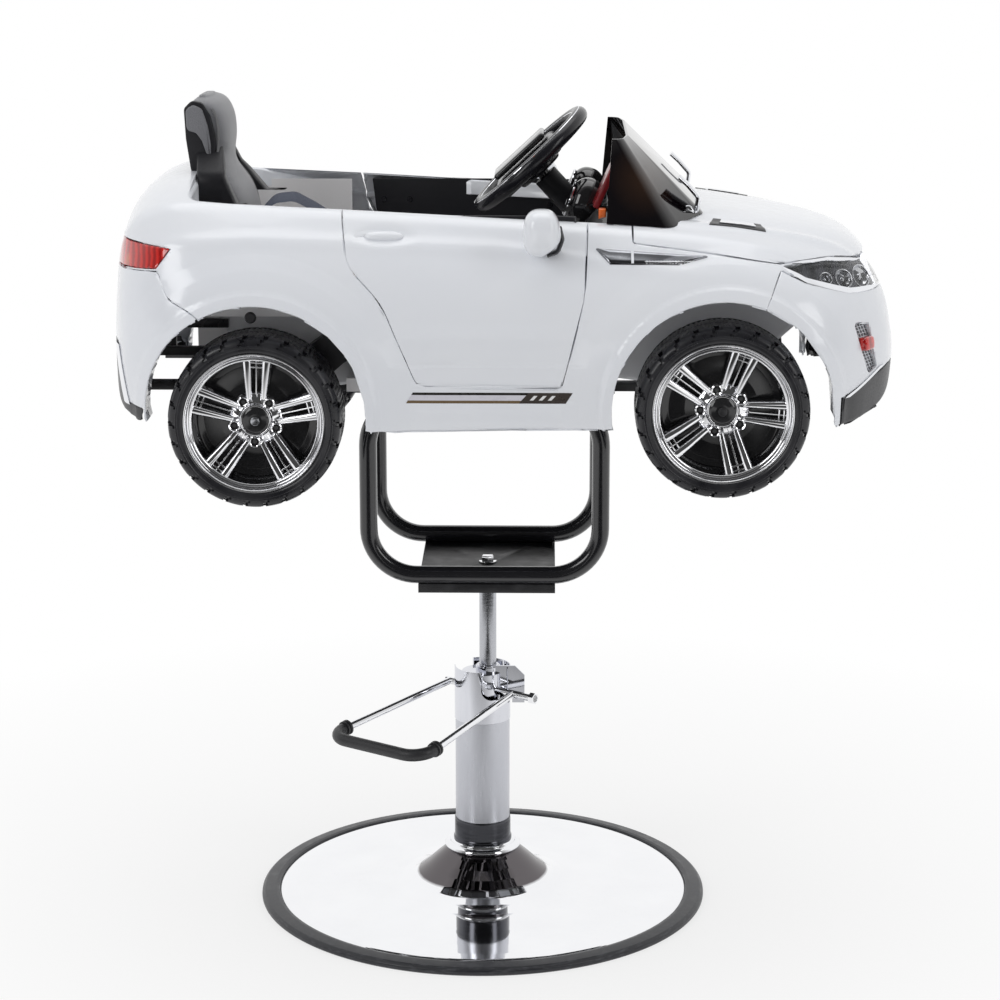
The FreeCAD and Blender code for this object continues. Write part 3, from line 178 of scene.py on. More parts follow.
# Rounds the corners of a line of spots, each corner by its own radius, into short straight runs
def eased(spots, radii, closed=False, steps=6):
    points = [Vector(spot) for spot in spots]
    count = len(points)
    line = []
    for index, here in enumerate(points):
        radius = radii[index] if isinstance(radii, (list, tuple)) else radii
        if radius == 0 or (not closed and index in (0, count - 1)):
            line.append(here)
            continue
        back = (points[index - 1] - here).normalized()
        ahead = (points[(index + 1) % count] - here).normalized()
        reach = min(
            radius / math.tan(max(back.angle(ahead), 0.01) / 2),
            0.48 * (points[index - 1] - here).length,
            0.48 * (points[(index + 1) % count] - here).length,
        )
        for step in range(steps + 1):
            share = step / steps
            line.append(here + back * reach * (1 - share) ** 2 + ahead * reach * share**2)
    return line


rim_outer = 330.0
rim_inner = 303.0
rim_spots = (
    (rim_inner, 1.0), (rim_outer - 3, 0.0), (rim_outer, 2.5), (rim_outer - 0.5, 7.5), (rim_outer - 5, 11.6),
    (rim_inner + 6, 13.4), (rim_inner + 1, 12.6), (rim_inner, 10.5),
)
rim_rubber = Finish("edging_rubber", (0.024, 0.025, 0.03), 0.4)
scuffs = rim_rubber.noise(60.0, 6.0, rim_rubber.stretch((1.0, 1.0, 6.0)))
rim_rubber.feed("Base Color", rim_rubber.shades(rim_rubber.span(scuffs, 0.5, 0.72), (0.02, 0.021, 0.026), (0.06, 0.062, 0.07)))
rim_rubber.feed("Roughness", rim_rubber.span(scuffs, 0.3, 0.7, 0.3, 0.46))
rim_rubber.feed("Normal", rim_rubber.bump(scuffs, 0.03))
rim_bm = turned(eased(rim_spots, (0, 2, 3, 3, 3, 2, 1, 0), steps=3), 192, closed=True)
install("edging_ring", rim_bm, rim_rubber.material, "pedestal", ["base_rim_ring"])

# Floor disc: the heavy steel plate under the cover, raw mill finish with light rust bloom.
# Only its edge shows from below, so the solid stays and gets its finish.
plate_steel = aged(Finish("mill_steel", (0.2, 0.2, 0.21), 0.5, 0.9), (0.2, 0.2, 0.21), (0.26, 0.22, 0.19), 0.55, 0.12, 400.0, 0.1)
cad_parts["base_plate"].data.materials.clear()
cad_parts["base_plate"].data.materials.append(plate_steel.material)

# Base cover: sheet steel spun on a lathe into a shallow dome with a bell at the middle, then
# chrome plated. Its edge rolls down inside the rubber, and the bell in the middle carries a dark
# painted reflection in its colour.
chrome_plate = Finish("chrome_plate", (0.8, 0.81, 0.85), 0.035, 1.0)
smears = chrome_plate.noise(14.0, 5.0)
radius_here = chrome_plate.node("ShaderNodeVectorMath", {"operation": "LENGTH"}, [chrome_plate.stretch((1, 1, 0))], output=1)
rings = (radius_here * 900.0).math("SINE")
chrome_plate.feed("Roughness", chrome_plate.span(smears, 0.45, 0.8, 0.03, 0.09))
chrome_plate.feed("Base Color", chrome_plate.shades(smears, (0.91, 0.915, 0.93), (0.84, 0.845, 0.87)))
chrome_plate.feed("Normal", chrome_plate.bump(rings * 0.3 + smears, 0.006))

pan_spots = (
    (303.4, 4.0), (303.4, 9.5), (298, 12.0), (282, 14.4), (255, 15.6), (205, 17.0), (150, 19.2), (122, 22.0), (106, 26.6),
    (94, 34.0), (82, 44), (70, 55), (59, 64.5), (52, 70), (48, 71.5), (46.5, 71.5), (50, 62), (60, 44), (90, 22), (150, 16), (282, 11), (301.5, 6),
)
pan_chrome = Finish("pan_chrome", (0.9, 0.9, 0.92), 0.035, 1.0)
film = pan_chrome.noise(14.0, 5.0)
out_from_middle = pan_chrome.node("ShaderNodeVectorMath", {"operation": "LENGTH"}, [pan_chrome.stretch((1, 1, 0))], output=1)
# Painted reflection: within about 99 mm of the middle the chrome's colour turns dark, standing in for dark surroundings
# mirrored in the bell
painted_dark_reflection = pan_chrome.span(out_from_middle + film * 0.006, 0.097, 0.101, 1.0, 0.0)
bright = pan_chrome.shades(film, (0.93, 0.935, 0.95), (0.86, 0.865, 0.885))
pan_chrome.feed("Base Color", pan_chrome.node("ShaderNodeMix", {"data_type": "RGBA"}, {0: painted_dark_reflection, 6: bright, 7: (0.13, 0.12, 0.125, 1)}, output=2))
pan_chrome.feed("Roughness", pan_chrome.span(film, 0.45, 0.8, 0.025, 0.08))
pan_chrome.feed("Normal", pan_chrome.bump(film, 0.004))
install("base_cover", turned(eased(pan_spots, 20, steps=8), 256, closed=True), pan_chrome.material, "pedestal", ["base_pan"], 50.0)

# Column foot: a chromed flange in three steps that is pressed over the bell's mouth.
flange_spots = (
    (31, 70), (47.5, 70), (49.5, 71.2), (54, 72.4), (56, 74.5), (56, 76), (54.6, 78), (50, 79.4), (48.6, 80.8),
    (48.2, 83), (46, 84.4), (31, 84.4),
)
install("column_flange", turned(eased(flange_spots, 1.2, steps=3), 128, closed=True), chrome_plate.material, "pedestal", ["base_flange"])

# Foot collar: a dark, burnished band that closes the lower sleeve where it meets the flange.
burnished = Finish("burnished_band", (0.06, 0.062, 0.07), 0.16, 1.0)
streaks = burnished.noise(40.0, 3.0, burnished.stretch((1, 1, 18)))
burnished.feed("Base Color", burnished.shades(streaks, (0.04, 0.041, 0.048), (0.12, 0.122, 0.135)))
burnished.feed("Roughness", burnished.span(streaks, 0.3, 0.7, 0.14, 0.26))
burnished.feed("Normal", burnished.bump(streaks, 0.02))
collar_spots = ((38.6, 84), (43, 84), (43, 87), (41.6, 89), (41.4, 114), (41, 118), (38.6, 118))
install("foot_collar", turned(eased(collar_spots, 1.0, steps=3), 128, closed=True), burnished.material, "pedestal", ["pump_collar"])

# Lower sleeve: brushed steel cover tube, grained up and down by the belt that finished it.
brushed_steel = Finish("brushed_sleeve", (0.66, 0.665, 0.69), 0.32, 1.0)
grain = brushed_steel.noise(260.0, 3.0, brushed_steel.stretch((4, 4, 0.12)))
haze = brushed_steel.noise(7.0, 3.0)
brushed_steel.feed("Base Color", brushed_steel.shades(haze, (0.52, 0.53, 0.575), (0.62, 0.63, 0.67)))
brushed_steel.feed("Roughness", brushed_steel.span(grain, 0.3, 0.7, 0.27, 0.36))
brushed_steel.feed("Normal", brushed_steel.bump(grain, 0.012))
sleeve_spots = ((38.4, 118), (40, 118), (40, 271.4), (38.4, 271.4))
install("lower_sleeve", turned(sleeve_spots, 160, closed=True), brushed_steel.material, "pedestal", ["sleeve_lower"])

# Upper sleeve: bright chromed tube with two finger notches, a slot for the bracket and a rivet.
# It is the source's own solid: the notches are cut there, and it only gets its plate here.
bright_tube = Finish("bright_tube", (0.8, 0.81, 0.83), 0.08, 1.0)
marks = bright_tube.noise(30.0, 5.0, bright_tube.stretch((2, 2, 0.5)))
bright_tube.feed("Base Color", bright_tube.shades(marks, (0.76, 0.77, 0.81), (0.62, 0.63, 0.68)))
bright_tube.feed("Roughness", bright_tube.span(marks, 0.4, 0.75, 0.06, 0.16))
bright_tube.feed("Normal", bright_tube.bump(marks, 0.02))


# A copy of a solid from the source with its corners eased, for pieces that keep their shape
def carried_over(name, node, material, body, bevel=0.4, crease=40.0):
    bm = bmesh.new()
    bm.from_mesh(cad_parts[node].data)
    bmesh.ops.remove_doubles(bm, verts=bm.verts, dist=1e-6)
    bmesh.ops.scale(bm, vec=(1000, 1000, 1000), verts=bm.verts)
    if bevel:
        bmesh.ops.dissolve_limit(bm, angle_limit=math.radians(1.0), verts=bm.verts, edges=bm.edges)
        sharp = [edge for edge in bm.edges if edge.is_manifold and edge.calc_face_angle() > math.radians(crease)]
        bmesh.ops.bevel(
            bm, geom=sharp, offset=bevel, affect="EDGES", segments=2, profile=0.5, material=-1, clamp_overlap=True
        )
    return install(name, bm, material, body, [node], crease)


def dress(node, finish):
    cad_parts[node].data.materials.clear()
    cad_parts[node].data.materials.append(finish.material)


dress("sleeve_upper", bright_tube)
dress("pump_body", bright_tube)

# Foot lever: a chromed rod bent in a U, with a ribbed rubber grip pulled over its bar.
# The rod turns on two pins in the pump, and the near pin carries a nut on its end.
lever_heading = 235.0
lever_drop = 5.5
lever_pin = (4.0, 0.0, 318.0)


# A round bar laid out like bending a real one: straight runs and bends, one after the other
def bent_bar(bm, radius, start, heading, side, moves, sides=20, steps=12):
    spot = Vector(start)
    heading = Vector(heading).normalized()
    side = Vector(side).normalized()
    ring = bmesh.ops.create_circle(bm, cap_ends=True, segments=sides, radius=radius)["verts"]
    turn = Matrix.Translation(spot) @ heading.to_track_quat("Z", "Y").to_matrix().to_4x4()
    bmesh.ops.transform(bm, matrix=turn, verts=ring)
    end = [face for face in bm.faces if all(vert in ring for vert in face.verts)]
    for kind, amount, angle in moves:
        if kind == "run":
            end = bmesh.ops.extrude_face_region(bm, geom=end)["geom"]
            moved = [item for item in end if isinstance(item, bmesh.types.BMVert)]
            bmesh.ops.translate(bm, vec=heading * amount, verts=moved)
            spot += heading * amount
            end = [item for item in end if isinstance(item, bmesh.types.BMFace)]
        else:
            axis = side
            centre = spot + side.cross(heading) * amount * math.copysign(1, angle)
            loop = [edge for face in end for edge in face.edges]
            bmesh.ops.delete(bm, geom=end, context="FACES_ONLY")
            loop_verts = list({vert for edge in loop for vert in edge.verts})
            last = bmesh.ops.spin(
                bm, geom=loop_verts + loop, cent=centre, axis=axis, angle=math.radians(angle), steps=steps
            )["geom_last"]
            turn = Matrix.Rotation(math.radians(angle), 3, axis)
            spot = centre + turn @ (spot - centre)
            heading = turn @ heading
            rim = [item for item in last if isinstance(item, bmesh.types.BMEdge)]
            end = bmesh.ops.edgeloop_fill(bm, edges=rim)["faces"]
    bmesh.ops.recalc_face_normals(bm, faces=bm.faces)
    return spot, heading


def on_lever(bm):
    bmesh.ops.rotate(bm, cent=(0, 0, 0), matrix=Matrix.Rotation(math.radians(lever_drop), 3, "Y"), verts=bm.verts)
    bmesh.ops.translate(bm, vec=lever_pin, verts=bm.verts)
    bmesh.ops.rotate(bm, cent=(0, 0, 0), matrix=Matrix.Rotation(math.radians(lever_heading), 3, "Z"), verts=bm.verts)
    return bm


lever_arm = Vector((254.0, 27.0, 0.0))
lever_splay = math.degrees(lever_arm.angle(Vector((1, 0, 0))))
lever_corner = 90.0 + lever_splay
lever_bend = 30.0
lever_setback = lever_bend * math.tan(math.radians(lever_corner / 2))
lever_reach = lever_arm.length - lever_setback
lever_bar = 2 * (84.0 - lever_setback)
rod_bm = bmesh.new()
lever_start = Vector((0, 57.0, 0))
bent_bar(rod_bm, 5.5, lever_start, lever_arm, (0, 0, 1), [
    ("run", lever_reach, 0), ("bend", lever_bend, -lever_corner), ("run", lever_bar, 0),
    ("bend", lever_bend, -lever_corner), ("run", lever_reach, 0),
])
for start, stop in (((0, 98, 0), (0, 20, 0)), ((0, -63, 0), (0, -20, 0))):
    bent_bar(rod_bm, 5.5, start, Vector(stop) - Vector(start), (0, 0, 1), [("run", (Vector(stop) - Vector(start)).length, 0)])
nut = bmesh.ops.create_cone(rod_bm, cap_ends=True, segments=6, radius1=8.6, radius2=8.6, depth=8.0)["verts"]
bmesh.ops.rotate(rod_bm, cent=(0, 0, 0), matrix=Matrix.Rotation(math.radians(90), 3, "X"), verts=nut)
bmesh.ops.translate(rod_bm, vec=(0, 94, 0), verts=nut)
install("lever_bar", on_lever(rod_bm), chrome_plate.material, "lever", ["lever_rod"])

grip_rubber = Finish("grip_rubber", (0.02, 0.02, 0.022), 0.42)
grip_grain = grip_rubber.noise(260.0, 3.0)
grip_rubber.feed("Roughness", grip_rubber.span(grip_grain, 0.3, 0.7, 0.34, 0.52))
grip_rubber.feed("Base Color", grip_rubber.shades(grip_rubber.noise(20.0), (0.016, 0.016, 0.018), (0.035, 0.035, 0.038)))
grip_rubber.feed("Normal", grip_rubber.bump(grip_grain, 0.12))
grip_bm = bmesh.new()
grip_start = lever_start + lever_arm.normalized() * lever_reach
bent_bar(grip_bm, 8.8, grip_start, lever_arm, (0, 0, 1), [
    ("bend", lever_bend, -lever_corner), ("run", lever_bar, 0), ("bend", lever_bend, -lever_corner),
])
for side in (1, -1):
    outward = Vector((-lever_arm.x, -side * lever_arm.y, 0)).normalized()
    foot = Vector((grip_start.x, side * grip_start.y, 0))
    for width, reach, offset in ((10.8, 3.0, 0.0), (9.6, 2.0, 3.0), (11.0, 3.5, 5.0)):
        bent_bar(grip_bm, width, foot + outward * (offset - 1), outward, (0, 0, 1), [("run", reach, 0)])
install("lever_grip_sleeve", on_lever(grip_bm), grip_rubber.material, "lever", ["lever_grip"])

# Ram, hub and bolt: a ground steel ram, the black hub that turns on it and its plated bolt.
ground_steel = Finish("ground_ram", (0.42, 0.43, 0.46), 0.2, 1.0)
lines = ground_steel.noise(60.0, 3.0, ground_steel.stretch((1, 1, 22)))
ground_steel.feed("Base Color", ground_steel.shades(lines, (0.4, 0.41, 0.44), (0.56, 0.57, 0.6)))
ground_steel.feed("Roughness", ground_steel.span(lines, 0.3, 0.7, 0.16, 0.28))
ground_steel.feed("Normal", ground_steel.bump(lines, 0.02))
ram_bm = turned(((0, 150), (12.5, 150), (12.5, 340), (12.5, 341), (12.5, 480), (12, 481), (9, 481), (9, 503.4), (0, 503.4)), 64)
bmesh.ops.translate(ram_bm, vec=(8.0, 0, 0), verts=ram_bm.verts)
install("ram_rod", ram_bm, ground_steel.material, "ram", ["ram"])
bolt_bm = turned(eased(((0, 473.6), (4.8, 473.6), (4.8, 508.4), (12.8, 508.4), (12.8, 510.4), (0, 510.4)), 0.5, steps=2), 40)
head_bm = bmesh.new()
bmesh.ops.create_cone(head_bm, cap_ends=True, segments=6, radius1=9.6, radius2=9.6, depth=8.0)
top = [edge for edge in head_bm.edges if all(vert.co.z > 0 for vert in edge.verts)]
bmesh.ops.bevel(head_bm, geom=top, offset=1.4, affect="EDGES", segments=3, profile=0.5, material=-1)
bmesh.ops.translate(head_bm, vec=(0, 0, 514.4), verts=head_bm.verts)
mesh = bpy.data.meshes.new("bolt_head")
head_bm.to_mesh(mesh)
head_bm.free()
bolt_bm.from_mesh(mesh)
bmesh.ops.translate(bolt_bm, vec=(8.0, 0, 0), verts=bolt_bm.verts)
install("swivel_bolt_plated", bolt_bm, chrome_plate.material, "ram", ["swivel_bolt"])

# Cradle: a folded plate with a crackle powder coat and two tube loops in satin black paint.
powder_coat = Finish("powder_coat", (0.02, 0.02, 0.022), 0.34)
crackle = powder_coat.node("ShaderNodeTexVoronoi", {"feature": "F1"}, {"Vector": powder_coat.place(), "Scale": 420.0})
dust = powder_coat.noise(35.0, 5.0)
powder_coat.feed("Base Color", powder_coat.shades(powder_coat.span(dust, 0.5, 0.8), (0.012, 0.012, 0.014), (0.03, 0.03, 0.033)))
powder_coat.feed("Roughness", powder_coat.span(dust, 0.3, 0.75, 0.28, 0.5))
powder_coat.feed("Normal", powder_coat.bump(crackle, 0.14, 0.0003))

satin_black = Finish("satin_black", (0.01, 0.01, 0.012), 0.18, Coat_Weight=0.6, Coat_Roughness=0.06)
orange_peel = satin_black.noise(160.0, 2.0)
satin_black.feed("Base Color", satin_black.shades(satin_black.noise(12.0, 4.0), (0.007, 0.007, 0.009), (0.016, 0.016, 0.019)))
satin_black.feed("Roughness", satin_black.span(orange_peel, 0.3, 0.7, 0.14, 0.24))
satin_black.feed("Normal", satin_black.bump(orange_peel, 0.012))
cradle = carried_over("cradle_plate_coated", "cradle_plate", powder_coat.material, "car", 0.6)
for vert in cradle.data.vertices:
    if vert.co.y < -0.14:
        vert.co.y += 0.027
carried_over("hub_coated", "swivel_hub", satin_black.material, "car", 0.0)

loop_bend = 68.0
loop_low = 520.5
loop_rise = 775.5 - loop_low
loop_run = 169.5 + 157.5
for side, name in ((-1, "right"), (1, "left")):
    loop_bm = bmesh.new()
    straight = loop_run - 2 * loop_bend
    upright = loop_rise - 2 * loop_bend
    moves = [("bend", loop_bend, -90), ("run", upright, 0)]
    moves += [("bend", loop_bend, -90), ("run", straight, 0), ("bend", loop_bend, -90), ("run", upright, 0)]
    moves += [("bend", loop_bend, -90), ("run", straight, 0)]
    bent_bar(loop_bm, 12.5, (169.5 - loop_bend, side * 118.0, loop_low), (1, 0, 0), (0, 1, 0), moves, 32, 16)
    bmesh.ops.remove_doubles(loop_bm, verts=loop_bm.verts, dist=0.05)
    install("tube_loop_" + name, loop_bm, satin_black.material, "car", ["loop_" + name])

# Car body: white glossy plastic, blown as one hollow form and parted into panels with rolled edges.
# The skin is a grid between stations; each panel is scored out of it by its own side outline.
# A row: place along the car, half width, foot height, belt height, half width at belt, crown height.
rear_end, nose_end = -501.0, 570.0
half_width, under, body_height = 300.0, 766.0, 320.0
stations = (
    (0.000, 0.50, 0.120, 0.520, 0.400, 0.580), (0.010, 0.65, 0.060, 0.684, 0.550, 0.770),
    (0.034, 0.817, 0.028, 0.840, 0.667, 0.925), (0.076, 0.933, 0.020, 0.906, 0.707, 0.996),
    (0.150, 0.987, 0.012, 0.909, 0.700, 0.990), (0.281, 0.973, 0.000, 0.8875, 0.710, 0.950),
    (0.449, 0.960, 0.000, 0.856, 0.717, 0.920), (0.608, 0.967, 0.012, 0.825, 0.750, 0.888),
    (0.738, 0.993, 0.019, 0.794, 0.760, 0.872), (0.841, 0.987, 0.019, 0.740, 0.740, 0.825),
    (0.916, 0.907, 0.019, 0.675, 0.667, 0.772), (0.963, 0.717, 0.0375, 0.590, 0.533, 0.684),
    (0.991, 0.533, 0.100, 0.466, 0.383, 0.528), (1.000, 0.400, 0.190, 0.356, 0.283, 0.400),
)
arch_middles = ((-299.0, 785.0), (329.0, 792.0))
arch_radius = 151.0
shell_index, gone_index = 0, 30


def smooth_through(knots, values, where):
    knots, values, where = np.array(knots, float), np.array(values, float), np.array(where, float)
    steps = np.diff(knots)
    system = np.eye(len(knots))
    turns = np.zeros_like(values)
    for k in range(1, len(knots) - 1):
        system[k, k - 1 : k + 2] = steps[k - 1], 2 * (steps[k - 1] + steps[k]), steps[k]
        turns[k] = 6 * ((values[k + 1] - values[k]) / steps[k] - (values[k] - values[k - 1]) / steps[k - 1])
    bends = np.linalg.solve(system, turns)
    cell = np.clip(np.searchsorted(knots, where) - 1, 0, len(knots) - 2)
    step = steps[cell][:, None]
    before = (knots[cell + 1] - where)[:, None] / step
    after = 1 - before
    line = before * values[cell] + after * values[cell + 1]
    return line + ((before**3 - before) * bends[cell] + (after**3 - after) * bends[cell + 1]) * step**2 / 6


def chords(points):
    return np.concatenate([[0], np.cumsum(np.linalg.norm(np.diff(points, axis=0), axis=1))])


def station_line(station, side_rows, top_rows):
    run, half, foot, belt, belt_half, crown = station
    widest, narrow = half * half_width, belt_half * half_width
    low, belt_z, crown_z = (under + body_height * share for share in (foot, belt, crown))
    chest = narrow + (widest - narrow) * 0.62
    rise = belt_z - low
    side = np.array([(-widest * 0.955, low), (-widest, low + rise * 0.4), (-chest, low + rise * 0.8), (-narrow, belt_z)])
    shoulder, shoulder_z = narrow * 0.6, belt_z + (crown_z - belt_z) * 0.75
    top = np.array([
        (-narrow, belt_z), (-shoulder, shoulder_z), (0, crown_z), (shoulder, shoulder_z), (narrow, belt_z),
    ])
    side_knots, top_knots = chords(side), chords(top)
    up = smooth_through(side_knots, side, np.linspace(0, side_knots[-1], 400))
    across = smooth_through(top_knots, top, np.linspace(0, top_knots[-1] / 2, 300))
    bend = min(11.0, 0.1 * rise)
    up_left = chords(up)[-1] - chords(up)
    across_gone = chords(across)
    start, end = up[up_left >= bend][-1], across[across_gone >= bend][0]
    share = np.linspace(0, 1, 9)[:, None]
    round_off = start * (1 - share) ** 2 + 2 * up[-1] * share * (1 - share) + end * share**2
    side_line = np.vstack([up[up_left > bend], round_off[:5]])
    top_line = np.vstack([round_off[4:], across[across_gone > bend]])
    rows = []
    for line, count in ((side_line, side_rows), (top_line, top_rows)):
        lengths = chords(line)
        spots = np.linspace(0, lengths[-1], count)
        rows.append(np.column_stack([np.interp(spots, lengths, line[:, k]) for k in (0, 1)]))
    profile = np.vstack([rows[0], rows[1][1:]])
    return np.column_stack([np.full(len(profile), rear_end + (nose_end - rear_end) * run), profile])


# Flared lips round the wheel arches, the rocker's steps and the pressed lines of the sides
def relief(spots, normals):
    x, y, z = spots.T
    lift = np.zeros(len(x))
    away = np.full(len(x), 400.0)
    for middle_x, middle_z in arch_middles:
        off = np.hypot(x - middle_x, z - middle_z) - arch_radius
        lift += np.interp(off, (-20, 0, 10, 14, 18, 30, 42, 52, 64), (7, 7.4, 7.6, 5.6, 4.6, 4.2, 3.2, 1.4, 0))
        away = np.minimum(away, off)
    clear = np.clip((away - 30) / 60, 0, 1)
    clear = clear * clear * (3 - 2 * clear)
    middle = (x > -250) & (x < 280)
    lift += middle * clear * np.interp(z, (798, 802, 806, 846, 852, 856, 876, 892, 910), (4.5, 4.5, 2.2, 2.2, 2.6, 0, 0.3, 1.8, 0))
    lift += middle * clear * np.interp(z, (766, 772, 778, 790, 797), (-1.5, 0.8, 1.5, 1.5, 0))
    shoulder = np.interp(x, (-480, -400, -300, 30, 150, 330, 500), (1000, 1012, 1016, 1004, 990, 968, 950))
    fade = np.interp(x, (-460, -380, 220, 330), (0, 1, 1, 0))
    lift += fade * 2.6 * np.exp(-(((z - shoulder) / 9.0) ** 2)) * (normals[:, 2] < 0.7)
    lift += 4.0 * np.exp(-(((y + np.interp(x, (200, 330, 560), (196, 186, 140))) / 12.0) ** 2)) * np.interp(
        x, (196, 230, 500, 545), (0, 1, 1, 0)) * (normals[:, 2] > 0.45)
    dish = ((x + 125) / 40.0) ** 2 + ((z - 1019) / 13.0) ** 2
    lift -= 3.0 * np.clip(1.25 - dish, 0, 1) * (normals[:, 2] < 0.8)
    return lift * np.clip(1.2 - np.abs(normals[:, 0]), 0, 1)


# Cuts the faces along a closed outline, seen from the side, from the top or from the front
def score(bm, outline, view, indices):
    band = set()
    marks = np.array(outline)
    low, high = marks.min(axis=0) - 8, marks.max(axis=0) + 8
    for face in bm.faces:
        if face.material_index in indices:
            spot = face.calc_center_median()
            if low[0] < spot[view[0]] < high[0] and low[1] < spot[view[1]] < high[1]:
                band.add(face)
    for start, end in zip(outline, outline[1:] + outline[:1]):
        start, end = Vector(start), Vector(end)
        along = end - start
        length = along.length
        if length < 0.05:
            continue
        along /= length
        near = []
        for face in band:
            spot = face.calc_center_median()
            offset = Vector((spot[view[0]], spot[view[1]])) - start
            run, off = offset.dot(along), offset.cross(along)
            if -6 < run < length + 6 and abs(off) < 7:
                near.append(face)
        if not near:
            continue
        co, no = [0, 0, 0], [0, 0, 0]
        co[view[0]], co[view[1]] = start
        no[view[0]], no[view[1]] = along.y, -along.x
        geometry = set(near)
        for face in near:
            geometry.update(face.edges)
            geometry.update(face.verts)
        cut = bmesh.ops.bisect_plane(bm, geom=list(geometry), dist=0.15, plane_co=co, plane_no=no)
        band.update(piece for piece in cut["geom"] if isinstance(piece, bmesh.types.BMFace))
        band = {face for face in band if face.is_valid}


def offset_outline(outline, distance):
    area = sum(a[0] * b[1] - b[0] * a[1] for a, b in zip(outline, outline[1:] + outline[:1]))
    moved = []
    for index, here in enumerate(outline):
        back = (Vector(here) - Vector(outline[index - 1])).normalized()
        ahead = (Vector(outline[(index + 1) % len(outline)]) - Vector(here)).normalized()
        out = Vector((back.y + ahead.y, -back.x - ahead.x)) * (1 if area > 0 else -1)
        out = out.normalized()
        lean = max(0.35, out.dot(Vector((ahead.y, -ahead.x)) * (1 if area > 0 else -1)))
        moved.append(Vector(here) + out * distance / lean)
    return [tuple(spot) for spot in moved]


def inside(outline, spots):
    hit = np.zeros(len(spots), bool)
    x, y = spots[:, 0], spots[:, 1]
    for (x0, y0), (x1, y1) in zip(outline, outline[1:] + outline[:1]):
        if y0 != y1:
            hit ^= ((y0 > y) != (y1 > y)) & (x < (x1 - x0) * (y - y0) / (y1 - y0) + x0)
    return hit


# Parts one panel from the others: its faces get their own index and a narrow strip round it goes
def part_panel(bm, outline, index, indices=(shell_index,), gap=1.3, view=(0, 2), beyond=0.0):
    wide, tight = offset_outline(outline, gap), offset_outline(outline, -gap)
    score(bm, wide, view, indices)
    if gap:
        score(bm, tight, view, indices)
    faces = [face for face in bm.faces if face.material_index in indices]
    centres = np.array([face.calc_center_median() for face in faces])
    flat = centres[:, view]
    kept = inside(tight, flat)
    strip = inside(wide, flat) & ~kept
    for face, centre, is_kept, is_strip in zip(faces, centres, kept, strip):
        if centre[1] > -beyond:
            continue
        if is_kept:
            face.material_index = index
        elif is_strip:
            face.material_index = gone_index


def body_outline(shares, bends=0.0):
    corners = [(rear_end + 1071 * run, under + body_height * rise) for run, rise in shares]
    return [tuple(spot) for spot in eased(corners, bends, closed=True, steps=8)]


side_rows, top_rows, columns = 66, 34, 236
lines = np.array([station_line(station, side_rows, top_rows) for station in stations])
knots = np.mean([chords(lines[:, row]) for row in range(lines.shape[1])], axis=0)
flat_lines = lines.reshape(len(stations), -1)
skin_grid = smooth_through(knots, flat_lines, np.linspace(0, knots[-1], columns)).reshape(columns, -1, 3)
skin_grid[:, -1, 1] = 0.0
caps = []
for end, outward in ((skin_grid[0], -1), (skin_grid[-1], 1)):
    cap = []
    for share in np.linspace(0, 1, 13)[1:]:
        drawn = end.copy()
        drawn[:, 1] *= 1 - share
        drawn[:, 0] += outward * 3.0 * (1 - (1 - share) ** 2)
        cap.append(drawn)
    caps.append(np.array(cap))
skin_grid = np.concatenate([caps[0][::-1], skin_grid, caps[1]])

skin_bm = bmesh.new()
column_count, row_count = skin_grid.shape[:2]
bmesh.ops.create_grid(skin_bm, x_segments=column_count - 1, y_segments=row_count - 1, size=1.0)
skin_bm.verts.ensure_lookup_table()
for vert in skin_bm.verts:
    column = round((vert.co.x + 1) / 2 * (column_count - 1))
    row = round((vert.co.y + 1) / 2 * (row_count - 1))
    vert.co = Vector(skin_grid[column, row])
bmesh.ops.remove_doubles(skin_bm, verts=skin_bm.verts, dist=0.01)
skin_bm.normal_update()
if sum(face.normal.y for face in skin_bm.faces) > 0:
    bmesh.ops.reverse_faces(skin_bm, faces=skin_bm.faces)

for middle_x, middle_z in arch_middles:
    for off, count in ((10, 56), (14, 56), (18, 48), (42, 48), (64, 48)):
        circle = []
        for step in range(count):
            turn = 2 * math.pi * step / count
            circle.append((middle_x + (arch_radius + off) * math.cos(turn), middle_z + (arch_radius + off) * math.sin(turn)))
        score(skin_bm, circle, (0, 2), (0,))
for height in (802.0, 806.0, 852.0, 856.0):
    score(skin_bm, [(-190.0, height), (215.0, height), (215.0, height - 0.01)], (0, 2), (0,))
skin_bm.normal_update()
spots = np.array([vert.co for vert in skin_bm.verts])
normals = np.array([vert.normal for vert in skin_bm.verts])
lifted = spots + normals * relief(spots, normals)[:, None]
lifted[np.abs(spots[:, 1]) < 0.01, 1] = 0.0
for vert, spot in zip(skin_bm.verts, lifted):
    vert.co = Vector(spot)

arch_outlines = []
for middle_x, middle_z in arch_middles:
    circle = [
        (middle_x + arch_radius * math.cos(math.pi * step / 48), middle_z + arch_radius * math.sin(math.pi * step / 48))
        for step in range(96)
    ]
    arch_outlines.append(circle)
    part_panel(skin_bm, circle, gone_index, (0,), 0.0)
cockpit_plan = [(-392.0, 5.0), (-392.0, -203.0), (186.0, -203.0), (186.0, 5.0)]
cockpit_line = [tuple(spot) for spot in eased(cockpit_plan, (0, 24.0, 3.0, 0), closed=True)]
upper = 40
for face in skin_bm.faces:
    if face.material_index == shell_index and face.calc_center_median().z > 990:
        face.material_index = upper
part_panel(skin_bm, cockpit_line, gone_index, (upper,), 0.0, (0, 1))
for face in skin_bm.faces:
    if face.material_index == upper:
        face.material_index = shell_index

